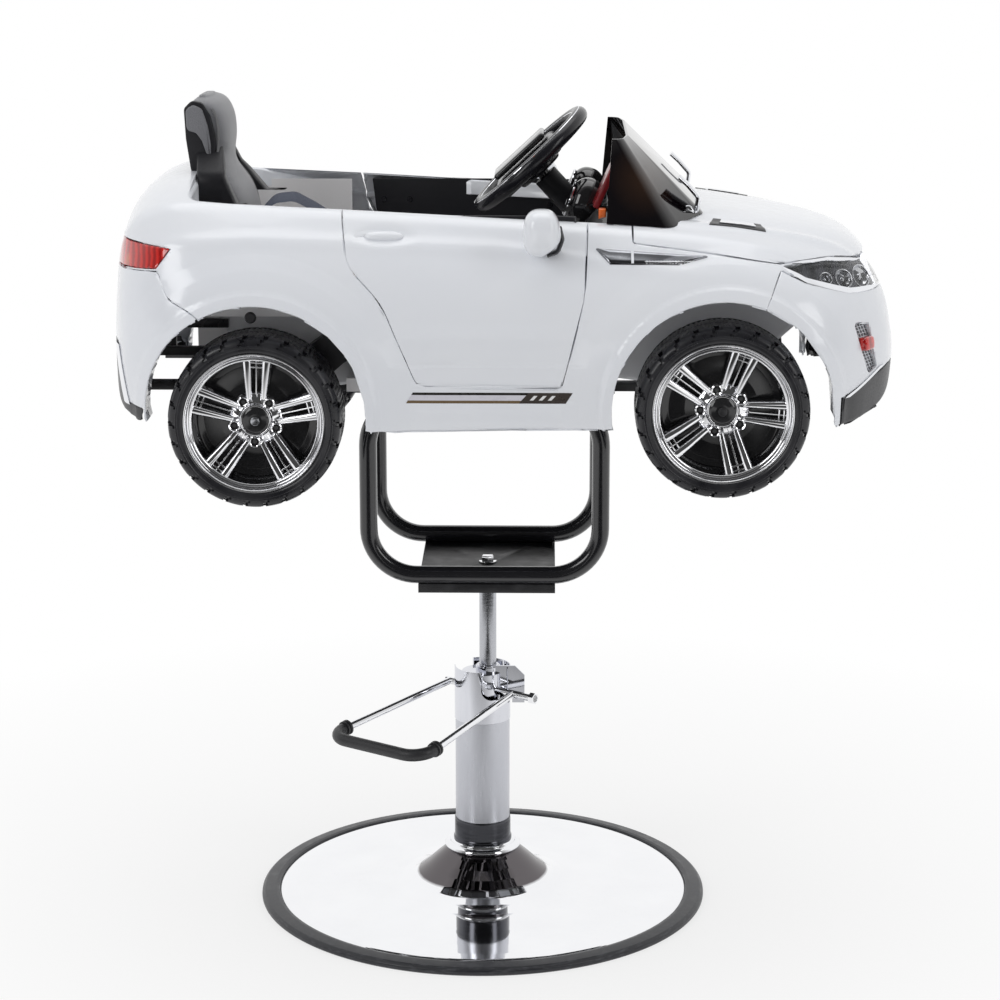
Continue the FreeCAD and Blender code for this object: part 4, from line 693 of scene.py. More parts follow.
panel_outlines = {
    "door": ((0.2866, 1.15), (0.3053, 0.684), (0.3483, 0.5375), (0.3931, 0.1875), (0.5733, 0.181), (0.6013, 0.55), (0.6088, 1.15)),
    "bonnet": ((0.6611, 1.2), (0.6611, 0.769), (0.7507, 0.734), (0.8385, 0.685), (0.9066, 0.694), (0.9552, 0.666), (1.0467, 0.6125), (1.0467, 1.2)),
    "bumper": ((0.8226, 0.497), (0.845, 0.6625), (0.8749, 0.6125), (0.9346, 0.556), (0.9795, 0.5375), (1.0467, 0.5375), (1.0467, -0.206), (0.8226, -0.206)),
    "headlamp": ((0.846, 0.676), (0.8749, 0.62), (0.9346, 0.562), (0.9795, 0.544), (1.0467, 0.544), (1.0467, 0.606), (0.9552, 0.659), (0.9066, 0.687)),
    "skid": ((0.9234, 0.131), (0.9907, 0.219), (1.0467, 0.219), (1.0467, -0.206), (0.9234, -0.206)),
    "fog": ((0.9393, 0.434), (0.9589, 0.425), (0.9729, 0.225), (0.9617, 0.206)),
    "tail_lamp": ((-0.0377, 0.78), (0.0868, 0.75), (0.0682, 0.6656), (-0.0377, 0.644)),
    "rear_bumper": ((-0.0364, 0.6375), (0.07, 0.656), (0.0822, 0.55), (0.127, 0.475), (0.127, -0.206), (-0.0364, -0.206)),
    "diffuser": ((-0.0364, 0.331), (0.0075, 0.319), (0.0215, 0.081), (0.0458, 0.069), (0.0458, -0.206), (-0.0364, -0.206)),
}
door_bends = (0, 40.0, 110.0, 16.0, 8.0, 60.0, 0)
part_panel(skin_bm, body_outline(panel_outlines["tail_lamp"]), 9, (0,), 1.3, beyond=116.0)
part_panel(skin_bm, body_outline(panel_outlines["rear_bumper"], (0, 3.0, 30.0, 30.0, 0, 0)), 10)
part_panel(skin_bm, body_outline(panel_outlines["diffuser"]), 11, (10,))
part_panel(skin_bm, body_outline(panel_outlines["door"], door_bends), 3, (0,))
part_panel(skin_bm, body_outline(panel_outlines["headlamp"], (2.0, 12.0, 12.0, 0, 0, 0, 6.0, 6.0)), 6)
part_panel(skin_bm, body_outline(panel_outlines["bonnet"], (0, 4.0, 20.0, 8.0, 12.0, 6.0, 0, 0)), 4)
part_panel(skin_bm, body_outline(panel_outlines["bumper"]), 5)
part_panel(skin_bm, body_outline(panel_outlines["skid"]), 7, (5,))
part_panel(skin_bm, body_outline(panel_outlines["fog"], 4.0), 8, (5,), beyond=108.0)
grille_hole = [(-107.0, 889.0), (-107.0, 981.0), (5.0, 981.0), (5.0, 889.0)]
nose = 41
for index in (4, 5, 6):
    for face in skin_bm.faces:
        if face.material_index == index and face.calc_center_median().x > 480:
            face.material_index = nose
    part_panel(skin_bm, grille_hole, gone_index, (nose,), 0.0, (1, 2))
    for face in skin_bm.faces:
        if face.material_index == nose:
            face.material_index = index


# One panel as its own mesh, whole or on one side, with its free edges rolled in
def lifted_panel(indices, both=True, roll=0.8, depth=6.0, special=None):
    bm = skin_bm.copy()
    others = [face for face in bm.faces if face.material_index not in indices]
    bmesh.ops.delete(bm, geom=others, context="FACES")
    for face in bm.faces:
        face.material_index = 0
    bmesh.ops.remove_doubles(bm, verts=bm.verts, dist=0.05)
    if both:
        copy = bmesh.ops.duplicate(bm, geom=bm.verts[:] + bm.edges[:] + bm.faces[:])["geom"]
        verts = [piece for piece in copy if isinstance(piece, bmesh.types.BMVert)]
        bmesh.ops.scale(bm, vec=(1, -1, 1), verts=verts)
        bmesh.ops.reverse_faces(bm, faces=[piece for piece in copy if isinstance(piece, bmesh.types.BMFace)])
        middle = [vert for vert in bm.verts if abs(vert.co.y) < 0.02]
        bmesh.ops.remove_doubles(bm, verts=middle, dist=0.02)
    roll_edges(bm, roll, depth, special)
    return bm


def roll_edges(bm, roll, depth, special=None):
    bm.normal_update()
    ring = [edge for edge in bm.edges if edge.is_boundary]
    frames = {}
    for edge in ring:
        face = edge.link_faces[0]
        along = (edge.verts[1].co - edge.verts[0].co).normalized()
        out = along.cross(face.normal)
        if out.dot(face.calc_center_median() - edge.verts[0].co) > 0:
            out.negate()
        for vert in edge.verts:
            frames.setdefault(vert, Vector()).__iadd__(out)
    for vert, out in frames.items():
        size = special(vert.co) if special else None
        radius, reach, inward = size or (roll, depth, -vert.normal)
        frames[vert] = (vert.co.copy(), out.normalized(), vert.normal.copy(), radius, reach, inward)
    for turn in (30, 60, 90, None):
        grown = bmesh.ops.extrude_edge_only(bm, edges=ring)["geom"]
        fresh = {piece for piece in grown if isinstance(piece, bmesh.types.BMVert)}
        ring = [
            piece for piece in grown
            if isinstance(piece, bmesh.types.BMEdge) and piece.verts[0] in fresh and piece.verts[1] in fresh
        ]
        for vert in fresh:
            origin = next(edge.other_vert(vert) for edge in vert.link_edges if edge.other_vert(vert) in frames)
            frames[vert] = frames[origin]
        for vert in fresh:
            start, out, normal, radius, reach, inward = frames[vert]
            angle = math.radians(turn or 90)
            vert.co = start + out * radius * math.sin(angle) - normal * radius * (1 - math.cos(angle))
            if turn is None:
                vert.co += inward * reach


# Deeper returns at the wheel arches, the cockpit's rim and along the foot
def shell_edges(spot):
    for middle_x, middle_z in arch_middles:
        if abs(math.hypot(spot.x - middle_x, spot.z - middle_z) - arch_radius) < 1.0 and abs(spot.y) > 150:
            return 1.6, 46.0, Vector((0, -1 if spot.y > 0 else 1, 0))
    if spot.z > 990 and abs(spot.y) < 204 and -393 < spot.x < 187:
        return 5.0, 22.0, Vector((0, 0, -1))
    if spot.z < 806 and abs(spot.y) > 100:
        return 3.0, 9.0, Vector((0, -0.6 if spot.y > 0 else 0.6, 0.8))
    return None


white_plastic = Finish("white_plastic", (0.83, 0.84, 0.86), 0.22, Coat_Weight=0.35, Coat_Roughness=0.06)
haze = white_plastic.span(white_plastic.noise(5.0, 4.0), 0.3, 0.7)
white_plastic.feed("Base Color", white_plastic.shades(haze, (0.8, 0.822, 0.87), (0.83, 0.848, 0.885)))
ripple = white_plastic.noise(34.0, 2.0)
white_plastic.feed("Roughness", white_plastic.span(white_plastic.noise(60.0, 5.0), 0.3, 0.7, 0.16, 0.27))
white_plastic.feed("Normal", white_plastic.bump(ripple, 0.05, 0.0015))


def sheeted(piece, thickness):
    sheet = piece.modifiers.new("sheet", "SOLIDIFY")
    sheet.thickness = thickness / 1000
    sheet.offset = -1.0
    sheet.use_even_offset = False
    return piece


def mirrored_copy(bm):
    left = bm.copy()
    bmesh.ops.scale(left, vec=(1, -1, 1), verts=left.verts)
    bmesh.ops.reverse_faces(left, faces=left.faces)
    return left


sheeted(install("body_skin", lifted_panel((0,), special=shell_edges), white_plastic.material, "car", ["body_shell"]), 2.2)
sheeted(install("bonnet_skin", lifted_panel((4,)), white_plastic.material, "car", ["bonnet"]), 2.2)
sheeted(install("front_bumper_skin", lifted_panel((5,), special=shell_edges), white_plastic.material, "car", ["front_bumper"]), 2.2)
sheeted(install("rear_bumper_skin", lifted_panel((10,), special=shell_edges), white_plastic.material, "car", ["rear_bumper"]), 2.2)
door_bm = lifted_panel((3,), both=False, depth=9.0, special=lambda spot: (5.0, 18.0, Vector((0, 0, -1))) if spot.z > 990 and spot.y > -206 else None)
door_left_bm = mirrored_copy(door_bm)
sheeted(install("door_skin_right", door_bm, white_plastic.material, "door_right", ["door_right"]), 2.2)
sheeted(install("door_skin_left", door_left_bm, white_plastic.material, "door_left", ["door_left"]), 2.2)

# Places on the skin, from the side or from above, for the pieces that are clipped onto it
skin_tree = BVHTree.FromBMesh(skin_bm)


def on_skin(x, z, lift=0.0):
    spot, normal = skin_tree.ray_cast(Vector((x, -420.0, z)), Vector((0, 1, 0)))[:2]
    return spot + normal * lift, normal


def on_top(x, y, lift=0.0):
    spot, normal = skin_tree.ray_cast(Vector((x, y, 1300.0)), Vector((0, 0, -1)))[:2]
    return spot + normal * lift, normal


# A thin patch laid on the skin: place(u, v) names the spot and its lift, u and v from 0 to 1
def laid_patch(place, columns, rows, find=on_skin, thickness=1.2):
    bm = bmesh.new()
    bmesh.ops.create_grid(bm, x_segments=columns, y_segments=rows, size=1.0)
    for vert in bm.verts:
        vert.co = find(*place((vert.co.x + 1) / 2, (vert.co.y + 1) / 2))[0]
    bm.normal_update()
    middle = bm.faces[:][len(bm.faces) // 2]
    seen = find(*place(0.5, 0.5))[1]
    if middle.normal.dot(seen) < 0:
        bmesh.ops.reverse_faces(bm, faces=bm.faces)
    ring = [edge for edge in bm.edges if edge.is_boundary]
    grown = bmesh.ops.extrude_edge_only(bm, edges=ring)["geom"]
    for vert in [piece for piece in grown if isinstance(piece, bmesh.types.BMVert)]:
        base = next(edge.other_vert(vert) for edge in vert.link_edges if edge.other_vert(vert).normal.length > 0.5)
        vert.co = vert.co - base.normal * thickness
    return bm


# Both sides of the car carry the same piece, the left one mirrored
def paired(name, bm, material, replaced=(), thickness=0.0, crease=35.0):
    left = mirrored_copy(bm)
    for side, mesh in (("right", bm), ("left", left)):
        stands_for = [node + "_" + side for node in replaced]
        piece = install(name + "_" + side, mesh, material, "car", stands_for, crease)
        if thickness:
            sheeted(piece, thickness)


# Headlamps: a clear lens flush with the wing, over a dark bucket with chromed bowls.
# A chromed lip follows the lamp's lower edge and the lens is held at its rim.
clear_lens = Finish("clear_lens", (0.06, 0.065, 0.07), 0.04, Alpha=0.16, Coat_Weight=1.0, Coat_Roughness=0.02)
ripples = clear_lens.noise(24.0, 2.0)
clear_lens.feed("Roughness", clear_lens.span(ripples, 0.3, 0.7, 0.02, 0.06))
clear_lens.feed("Base Color", clear_lens.shades(ripples, (0.05, 0.055, 0.06), (0.1, 0.105, 0.11)))
clear_lens.feed("Normal", clear_lens.bump(ripples, 0.04))
lamp_bucket = Finish("lamp_bucket", (0.03, 0.031, 0.036), 0.12, 0.7)
flutes = lamp_bucket.node("ShaderNodeTexWave", {"bands_direction": "X"}, {"Vector": lamp_bucket.place(), "Scale": 14.0, "Distortion": 0.4})
lamp_bucket.feed("Base Color", lamp_bucket.shades(flutes, (0.012, 0.012, 0.015), (0.09, 0.092, 0.11)))
lamp_bucket.feed("Roughness", lamp_bucket.span(flutes, 0.0, 1.0, 0.12, 0.3))
lamp_bucket.feed("Normal", lamp_bucket.bump(flutes, 0.08, 0.003))
vacuum_chrome = Finish("vacuum_chrome", (0.86, 0.87, 0.9), 0.05, 1.0)
sheen = vacuum_chrome.noise(20.0, 4.0)
vacuum_chrome.feed("Base Color", vacuum_chrome.shades(sheen, (0.88, 0.89, 0.92), (0.74, 0.75, 0.78)))
vacuum_chrome.feed("Roughness", vacuum_chrome.span(sheen, 0.35, 0.75, 0.03, 0.1))
vacuum_chrome.feed("Normal", vacuum_chrome.bump(sheen, 0.02))
paired("headlamp_lens", lifted_panel((6,), both=False, depth=8.0), clear_lens.material, ["headlamp"], 1.6)
bucket_bm = lifted_panel((6,), both=False, roll=0.2, depth=2.0)
bmesh.ops.translate(bucket_bm, vec=(-7.0, 8.5, -2.0), verts=bucket_bm.verts)
paired("headlamp_bucket", bucket_bm, lamp_bucket.material, (), 2.0)
bowls_bm = bmesh.new()
for x, z, radius in ((470.0, 967.5, 8.0), (497.0, 963.5, 12.5), (525.0, 960.5, 15.0)):
    spot, normal = on_skin(x, z, -14.0)
    bowl = turned(eased([(radius * 0.25, 1.0), (radius * 0.6, 2.0), (radius * 0.9, 6.0), (radius, 10.0), (radius + 1.4, 10.0), (radius + 1.2, 7.0)], 4.0, steps=4), 40)
    bulb = bmesh.ops.create_uvsphere(bowl, u_segments=20, v_segments=12, radius=radius * 0.3)["verts"]
    bmesh.ops.translate(bowl, vec=(0, 0, 4.0), verts=bulb)
    turn = Matrix.Translation(spot) @ (normal + Vector((0, -0.5, 0))).to_track_quat("Z", "Y").to_matrix().to_4x4()
    bmesh.ops.transform(bowl, matrix=turn, verts=bowl.verts)
    mesh = bpy.data.meshes.new("bowl")
    bowl.to_mesh(mesh)
    bowls_bm.from_mesh(mesh)
    bowl.free()
paired("headlamp_bowls", bowls_bm, vacuum_chrome.material)


# A bright lip along the lamp's lower edge and one along its top
def lip_place(line, high):
    def place(u, v):
        x = np.interp(u, (0, 1), (line[0][0], line[-1][0]))
        z = np.interp(x, [spot[0] for spot in line], [spot[1] for spot in line])
        width = high * min(1.0, 6 * u + 0.15, 6 * (1 - u) + 0.15)
        return x, z + (v - 0.5) * width, 0.9
    return place


low_lip = ((407.0, 981.0), (437.0, 964.5), (500.0, 946.0), (549.0, 940.5))
lip_bm = laid_patch(lip_place(low_lip, 5.5), 60, 3)
mesh = bpy.data.meshes.new("lip")
laid_patch(lip_place(((420.0, 985.0), (470.0, 985.8), (520.0, 977.0)), 3.0), 40, 2).to_mesh(mesh)
lip_bm.from_mesh(mesh)
paired("headlamp_lip", lip_bm, vacuum_chrome.material)

# Grille: a chromed plastic lattice pressed into the nose between the lamps.
# It is the source's own lattice with eased corners.
carried_over("nose_grille", "grille", vacuum_chrome.material, "car", 0.5)

# Fog lamp recesses: a dark pocket with a bright hexagon mesh and a red lamp.
hex_mesh = Finish("hexagon_mesh", (0.3, 0.31, 0.33), 0.3, 0.8)
sheet = hex_mesh.node("ShaderNodeCombineXYZ", inputs=[hex_mesh.axis("X") * 1.15 + hex_mesh.axis("Z") * 0.5, hex_mesh.axis("Z")])
cells = hex_mesh.node(
    "ShaderNodeTexVoronoi", {"feature": "DISTANCE_TO_EDGE", "voronoi_dimensions": "2D"},
    {"Vector": sheet, "Scale": 210.0, "Randomness": 0.0},
)
wires = hex_mesh.span(cells, 0.06, 0.2, 1.0, 0.0)
hex_mesh.feed("Base Color", hex_mesh.shades(wires, (0.1, 0.1, 0.11), (0.62, 0.64, 0.68)))
hex_mesh.feed("Roughness", hex_mesh.span(wires, 0.0, 1.0, 0.5, 0.15))
hex_mesh.feed("Normal", hex_mesh.bump(wires, 0.6, 0.002))
fog_bm = lifted_panel((8,), both=False, roll=0.2, depth=8.0)
for vert in fog_bm.verts:
    vert.co += Vector((-0.5, 0.85, 0)) * 5.0
paired("fog_pocket", fog_bm, hex_mesh.material, (), 1.6)
red_lens = Finish("red_lens", (0.62, 0.012, 0.01), 0.08, Coat_Weight=1.0, Coat_Roughness=0.03)
ribs = red_lens.node("ShaderNodeTexWave", {"bands_direction": "X"}, {"Vector": red_lens.place(), "Scale": 38.0, "Distortion": 3.0})
spot_off = red_lens.node("ShaderNodeVectorMath", {"operation": "DISTANCE"}, [red_lens.place(), (-0.486, -0.225, 0.989)], output=1)
amber = red_lens.span(spot_off, 0.008, 0.02, 1.0, 0.0)
deep = red_lens.shades(red_lens.span(ribs, 0.1, 1.0), (0.34, 0.004, 0.004), (0.66, 0.016, 0.01))
red_lens.feed("Base Color", red_lens.node("ShaderNodeMix", {"data_type": "RGBA"}, {0: amber, 6: deep, 7: (1.0, 0.32, 0.03, 1.0)}, output=2))
red_lens.feed("Roughness", red_lens.span(ribs, 0.0, 1.0, 0.04, 0.14))
red_lens.feed("Normal", red_lens.bump(ribs, 0.05))
fog_red_bm = bmesh.new()
spot, normal = on_skin(523.0, 874.5, 0.0)
bmesh.ops.create_uvsphere(fog_red_bm, u_segments=32, v_segments=20, radius=1.0)
for vert in fog_red_bm.verts:
    vert.co = Vector([math.copysign(abs(value) ** 0.5 * reach, value) for value, reach in zip(vert.co, (14.0, 8.0, 9.5))])
bmesh.ops.transform(fog_red_bm, matrix=Matrix.Translation(spot) @ normal.to_track_quat("Y", "Z").to_matrix().to_4x4(), verts=fog_red_bm.verts)
fog_left_bm = mirrored_copy(fog_red_bm)
install("fog_red_right", fog_red_bm, red_lens.material, "car", ["fog_lamps"])
install("fog_red_left", fog_left_bm, red_lens.material, "car")

# Tail lamps: ribbed red lenses with an amber bulb showing through near the corner.
paired("tail_lens", lifted_panel((9,), both=False, depth=8.0), red_lens.material, ["tail_lamp"], 2.0)

# Front valance and rear diffuser: satin black plastic under the bumpers with bright edges.
trim_black = Finish("trim_black", (0.022, 0.022, 0.025), 0.38)
pores = trim_black.noise(500.0, 2.0)
trim_black.feed("Base Color", trim_black.shades(trim_black.noise(16.0, 4.0), (0.017, 0.017, 0.019), (0.04, 0.04, 0.044)))
trim_black.feed("Roughness", trim_black.span(pores, 0.3, 0.7, 0.3, 0.46))
trim_black.feed("Normal", trim_black.bump(pores, 0.12, 0.0004))
sheeted(install("front_valance", lifted_panel((7,), special=shell_edges), trim_black.material, "car", ["front_skid"]), 2.2)
sheeted(install("rear_valance", lifted_panel((11,), special=shell_edges), trim_black.material, "car", ["rear_diffuser"]), 2.2)


def edge_place(line, wide, lift):
    def place(u, v):
        along = u * (len(line) - 1)
        x = np.interp(along, range(len(line)), [spot[0] for spot in line])
        z = np.interp(along, range(len(line)), [spot[1] for spot in line])
        return x + (v - 0.5) * wide, z, lift
    return place


skid_edge_bm = laid_patch(edge_place(((497.0, 809.0), (514.0, 818.0), (532.0, 828.0), (549.0, 838.0)), 7.0, 1.6), 40, 4, thickness=2.5)
paired("skid_edge", skid_edge_bm, vacuum_chrome.material)
diffuser_edge_bm = laid_patch(edge_place(((-493.0, 866.0), (-487.0, 835.0), (-481.0, 806.0), (-477.0, 790.0)), 9.0, 1.6), 40, 4, thickness=2.5)
paired("diffuser_edge", diffuser_edge_bm, vacuum_chrome.material)

# Wing blades: dark chromed mouldings with a white bar and a mesh end, clipped to the front wings.
dark_chrome = Finish("dark_chrome", (0.3, 0.31, 0.34), 0.12, 1.0)
along = dark_chrome.axis("X")
net = dark_chrome.node("ShaderNodeTexVoronoi", {"feature": "DISTANCE_TO_EDGE"}, {"Vector": dark_chrome.place(), "Scale": 260.0, "Randomness": 0.1})
net_wires = dark_chrome.span(net, 0.05, 0.2, 1.0, 0.0)
low_half = dark_chrome.span(dark_chrome.axis("Z"), 0.991, 0.9925, 1.0, 0.0)
in_net = dark_chrome.span(along, 0.222, 0.2235) * low_half
tones = dark_chrome.shades(dark_chrome.noise(30.0), (0.16, 0.165, 0.18), (0.42, 0.43, 0.46))
netted = dark_chrome.shades(net_wires, (0.05, 0.05, 0.055), (0.8, 0.81, 0.84))
dark_chrome.feed("Base Color", dark_chrome.node("ShaderNodeMix", {"data_type": "RGBA"}, {0: in_net, 6: tones, 7: netted}, output=2))
dark_chrome.feed("Roughness", dark_chrome.span(dark_chrome.noise(50.0, 4.0), 0.3, 0.7, 0.08, 0.18))
dark_chrome.feed("Normal", dark_chrome.bump(net_wires * in_net, 0.4, 0.001))


def blade_place(u, v):
    x = 158.0 + 148.0 * u
    top = np.interp(x, (158, 230, 306), (1005.5, 1001.0, 996.2))
    low = np.interp(x, (158, 176, 268, 306), (1004.5, 987.0, 986.0, 995.2))
    rim = min(1.0, 5 * v, 5 * (1 - v), 14 * u, 14 * (1 - u))
    return x, low + (top - low) * v, 0.4 + 2.4 * rim**0.5


blade_bm = laid_patch(blade_place, 90, 14)
blade_left_bm = mirrored_copy(blade_bm)
install("wing_blade_right", blade_bm, dark_chrome.material, "car", ["side_trims"])
install("wing_blade_left", blade_left_bm, dark_chrome.material, "car")
bar_bm = laid_patch(lambda u, v: (204.5 + 3.4 * u, 987.5 + 14.0 * v, 3.6), 3, 8)
paired("wing_blade_bar", bar_bm, white_plastic.material)

# Bonnet vents: a chromed plate in a black frame, pushed into the bonnet on each side.
vent_corners = ((311.0, -191.0), (388.0, -181.0), (383.0, -149.0), (318.0, -155.0))


def vent_place(shrink, lift):
    def place(u, v):
        near = Vector(vent_corners[0]).lerp(Vector(vent_corners[1]), shrink + (1 - 2 * shrink) * u)
        far = Vector(vent_corners[3]).lerp(Vector(vent_corners[2]), shrink + (1 - 2 * shrink) * u)
        spot = near.lerp(far, shrink + (1 - 2 * shrink) * v)
        return spot.x, spot.y, lift
    return place


vent_bm = laid_patch(vent_place(0.0, 1.2), 30, 20, on_top)
vent_left_bm = mirrored_copy(vent_bm)
install("vent_frame_right", vent_bm, trim_black.material, "car", ["bonnet_vents"])
install("vent_frame_left", vent_left_bm, trim_black.material, "car")
paired("vent_plate", laid_patch(vent_place(0.17, 3.0), 24, 14, on_top, 2.0), vacuum_chrome.material)


# Rocker stripes: a printed film of two lines with a dark end block, stuck under the doors.
# The real film carries lettering; here the middle holds plain bands only.
stripe_film = Finish("stripe_film", (0.6, 0.58, 0.66), 0.3)
film_x, film_z = stripe_film.axis("X"), stripe_film.axis("Z")
slant = film_x - (film_z - 0.81) * 0.9
top_line = stripe_film.span(film_z, 0.8138, 0.8142)
low_line = stripe_film.span(film_z, 0.8062, 0.8066, 1.0, 0.0)
block = stripe_film.span(slant, 0.062, 0.0624)
bars = ((slant * 520.0).math("SINE")).math("GREATER_THAN", 0.3) * stripe_film.span(slant, 0.068, 0.0684) * stripe_film.span(slant, 0.108, 0.1084, 1.0, 0.0)
mid = stripe_film.span(film_z, 0.8068, 0.807) * stripe_film.span(film_z, 0.8132, 0.8134, 1.0, 0.0)
fill = stripe_film.shades(stripe_film.noise(40.0), (0.6, 0.59, 0.66), (0.7, 0.69, 0.74))
paint = stripe_film.node("ShaderNodeMix", {"data_type": "RGBA"}, {0: low_line, 6: fill, 7: (0.16, 0.11, 0.06, 1)}, output=2)
paint = stripe_film.node("ShaderNodeMix", {"data_type": "RGBA"}, {0: top_line, 6: paint, 7: (0.02, 0.018, 0.016, 1)}, output=2)
paint = stripe_film.node("ShaderNodeMix", {"data_type": "RGBA"}, {0: block, 6: paint, 7: (0.05, 0.04, 0.035, 1)}, output=2)
paint = stripe_film.node("ShaderNodeMix", {"data_type": "RGBA"}, {0: bars * mid, 6: paint, 7: (0.8, 0.8, 0.8, 1)}, output=2)
stripe_film.feed("Base Color", paint)
stripe_film.feed("Roughness", stripe_film.span(stripe_film.noise(80.0), 0.3, 0.7, 0.24, 0.36))
stripe_film.feed("Normal", stripe_film.bump(stripe_film.noise(90.0), 0.03))
stripe_bm = laid_patch(lambda u, v: (-90.0 + 213.0 * u + 9.0 * (v - 0.5), 803.0 + 14.5 * v, 0.35), 120, 6, thickness=0.6)
paired("rocker_film", stripe_bm, stripe_film.material)


# Door pulls: long oval grips moulded into the door over a shallow dish.
def door_pull():
    bm = bmesh.new()
    bmesh.ops.create_uvsphere(bm, u_segments=40, v_segments=24, radius=1.0)
    spot, normal = on_skin(-125.0, 1019.0, 0.5)
    for vert in bm.verts:
        reach = vert.co.copy()
        vert.co = Vector((
            26.0 * math.copysign(abs(reach.x) ** 0.8, reach.x), 6.5 * reach.y, 7.0 * math.copysign(abs(reach.z) ** 0.7, reach.z)
        ))
    lean = normal.to_track_quat("Y", "Z").to_matrix().to_4x4()
    bmesh.ops.transform(bm, matrix=Matrix.Translation(spot) @ lean, verts=bm.verts)
    return bm


pull_bm = door_pull()
pull_left_bm = mirrored_copy(pull_bm)
install("door_pull_right", pull_bm, white_plastic.material, "door_right", (), 60.0)
install("door_pull_left", pull_left_bm, white_plastic.material, "door_left", (), 60.0)

# Tyres: black hollow rubber-like plastic, with slanted shoulder lugs and a fine toothed tread.
# A wheel is laid out round the vertical axis, outside up, and then turned onto its hub.
tyre_rubber = Finish("tyre_rubber", (0.014, 0.014, 0.017), 0.3)
mottle = tyre_rubber.noise(26.0, 5.0)
tyre_rubber.feed("Base Color", tyre_rubber.shades(tyre_rubber.span(mottle, 0.35, 0.7), (0.009, 0.009, 0.012), (0.026, 0.026, 0.03)))
tyre_rubber.feed("Roughness", tyre_rubber.span(mottle, 0.3, 0.7, 0.22, 0.38))
tyre_rubber.feed("Normal", tyre_rubber.bump(tyre_rubber.noise(500.0, 2.0), 0.04, 0.0004))
lug_count, lug_steps = 26, 8


def tyre_bm():
    half = (
        (94.9, 41.0), (95.3, 45.5), (97.0, 47.6), (99.5, 48.6), (102.5, 49.2), (103.4, 50.0), (105.4, 50.0), (106.2, 49.0),
        (109.5, 48.2), (112.6, 46.4), (114.8, 43.6), (116.2, 39.5), (116.9, 34.5), (117.2, 29.0), (115.0, 28.4),
        (115.0, 26.6), (117.4, 26.0), (117.5, 17.5), (117.5, 9.0), (117.5, 1.2), (115.6, 0.9),
    )
    profile = list(half) + [(radius, -height) for radius, height in reversed(half)]
    bm = turned(profile, lug_count * lug_steps, closed=True)
    grooves = []
    step_turn = 2 * math.pi / (lug_count * lug_steps)
    for face in bm.faces:
        centre = face.calc_center_median()
        radius, height = math.hypot(centre.x, centre.y), abs(centre.z)
        if 107.0 < radius and 30.0 < height < 49.0:
            step = round(math.atan2(centre.y, centre.x) / step_turn - 0.5) % (lug_count * lug_steps)
            lag = int((radius - 107.0) / 4.0) + (lug_steps // 2 if centre.z < 0 else 0)
            if (step + lag) % lug_steps in (0, 1):
                grooves.append(face)
    sunk = bmesh.ops.extrude_face_region(bm, geom=grooves)["geom"]
    bmesh.ops.delete(bm, geom=[face for face in grooves if face.is_valid], context="FACES")
    for vert in [piece for piece in sunk if isinstance(piece, bmesh.types.BMVert)]:
        radius = math.hypot(vert.co.x, vert.co.y)
        shrink = (radius - 3.4 * min(1.0, (radius - 104.0) / 8.0)) / radius
        vert.co = Vector((vert.co.x * shrink, vert.co.y * shrink, vert.co.z - math.copysign(1.6, vert.co.z)))
    for vert in bm.verts:
        radius = math.hypot(vert.co.x, vert.co.y)
        step = round(math.atan2(vert.co.y, vert.co.x) / step_turn)
        if radius > 116.8 and abs(vert.co.z) < 27.0 and step % 2:
            vert.co.x *= (radius - 1.3) / radius
            vert.co.y *= (radius - 1.3) / radius
    bmesh.ops.recalc_face_normals(bm, faces=bm.faces)
    return bm


# Rims: chrome-plated plastic with five double spokes, a thin rib in each and two short rungs
# near the lip. Five bolts sit in raised rings round a black cap, over a black dish.
rim_chrome = Finish("rim_chrome", (0.86, 0.86, 0.88), 0.04, 1.0)
clouds = rim_chrome.noise(26.0, 4.0)
rim_chrome.feed("Base Color", rim_chrome.shades(rim_chrome.span(clouds, 0.3, 0.7), (0.84, 0.845, 0.87), (0.92, 0.92, 0.935)))
rim_chrome.feed("Roughness", rim_chrome.span(clouds, 0.35, 0.75, 0.035, 0.09))
rim_chrome.feed("Normal", rim_chrome.bump(clouds, 0.03, 0.002))
dish_black = Finish("dish_black", (0.012, 0.012, 0.013), 0.16, Coat_Weight=0.4, Coat_Roughness=0.08)
film = dish_black.noise(30.0, 4.0)
dish_black.feed("Base Color", dish_black.shades(film, (0.008, 0.008, 0.009), (0.024, 0.024, 0.026)))
dish_black.feed("Roughness", dish_black.span(film, 0.3, 0.7, 0.1, 0.24))
dish_black.feed("Normal", dish_black.bump(film, 0.03))
lip_spots = (
    (93.8, -44), (93.8, 40), (95.6, 42.5), (96.2, 45.5), (95.0, 47.6), (93.0, 47.6), (91.4, 45.6), (90.6, 42.0), (88.6, 40.6),
    (87.6, 42.2), (86.0, 42.6), (84.4, 41.0), (83.4, 36.0), (81.4, 20.0), (81.0, -2.0), (81.0, -44),
)
dish_spots = ((81.4, 8.0), (72, 3.0), (50, 5.0), (34, 10.0), (8, 11.0), (8, -1.0), (60, -6.0), (81.4, -3.0))
hub_spots = ((6, 8), (35, 8), (37, 11), (35.5, 15.5), (31, 18.0), (23, 21.5), (21.4, 25.6), (20.2, 26.2), (19.4, 25.0), (6, 24.0))
cap_spots = ((0, 28.6), (9, 28.2), (15.5, 27.0), (18.9, 25.0), (19.2, 22.0), (0, 22.0))


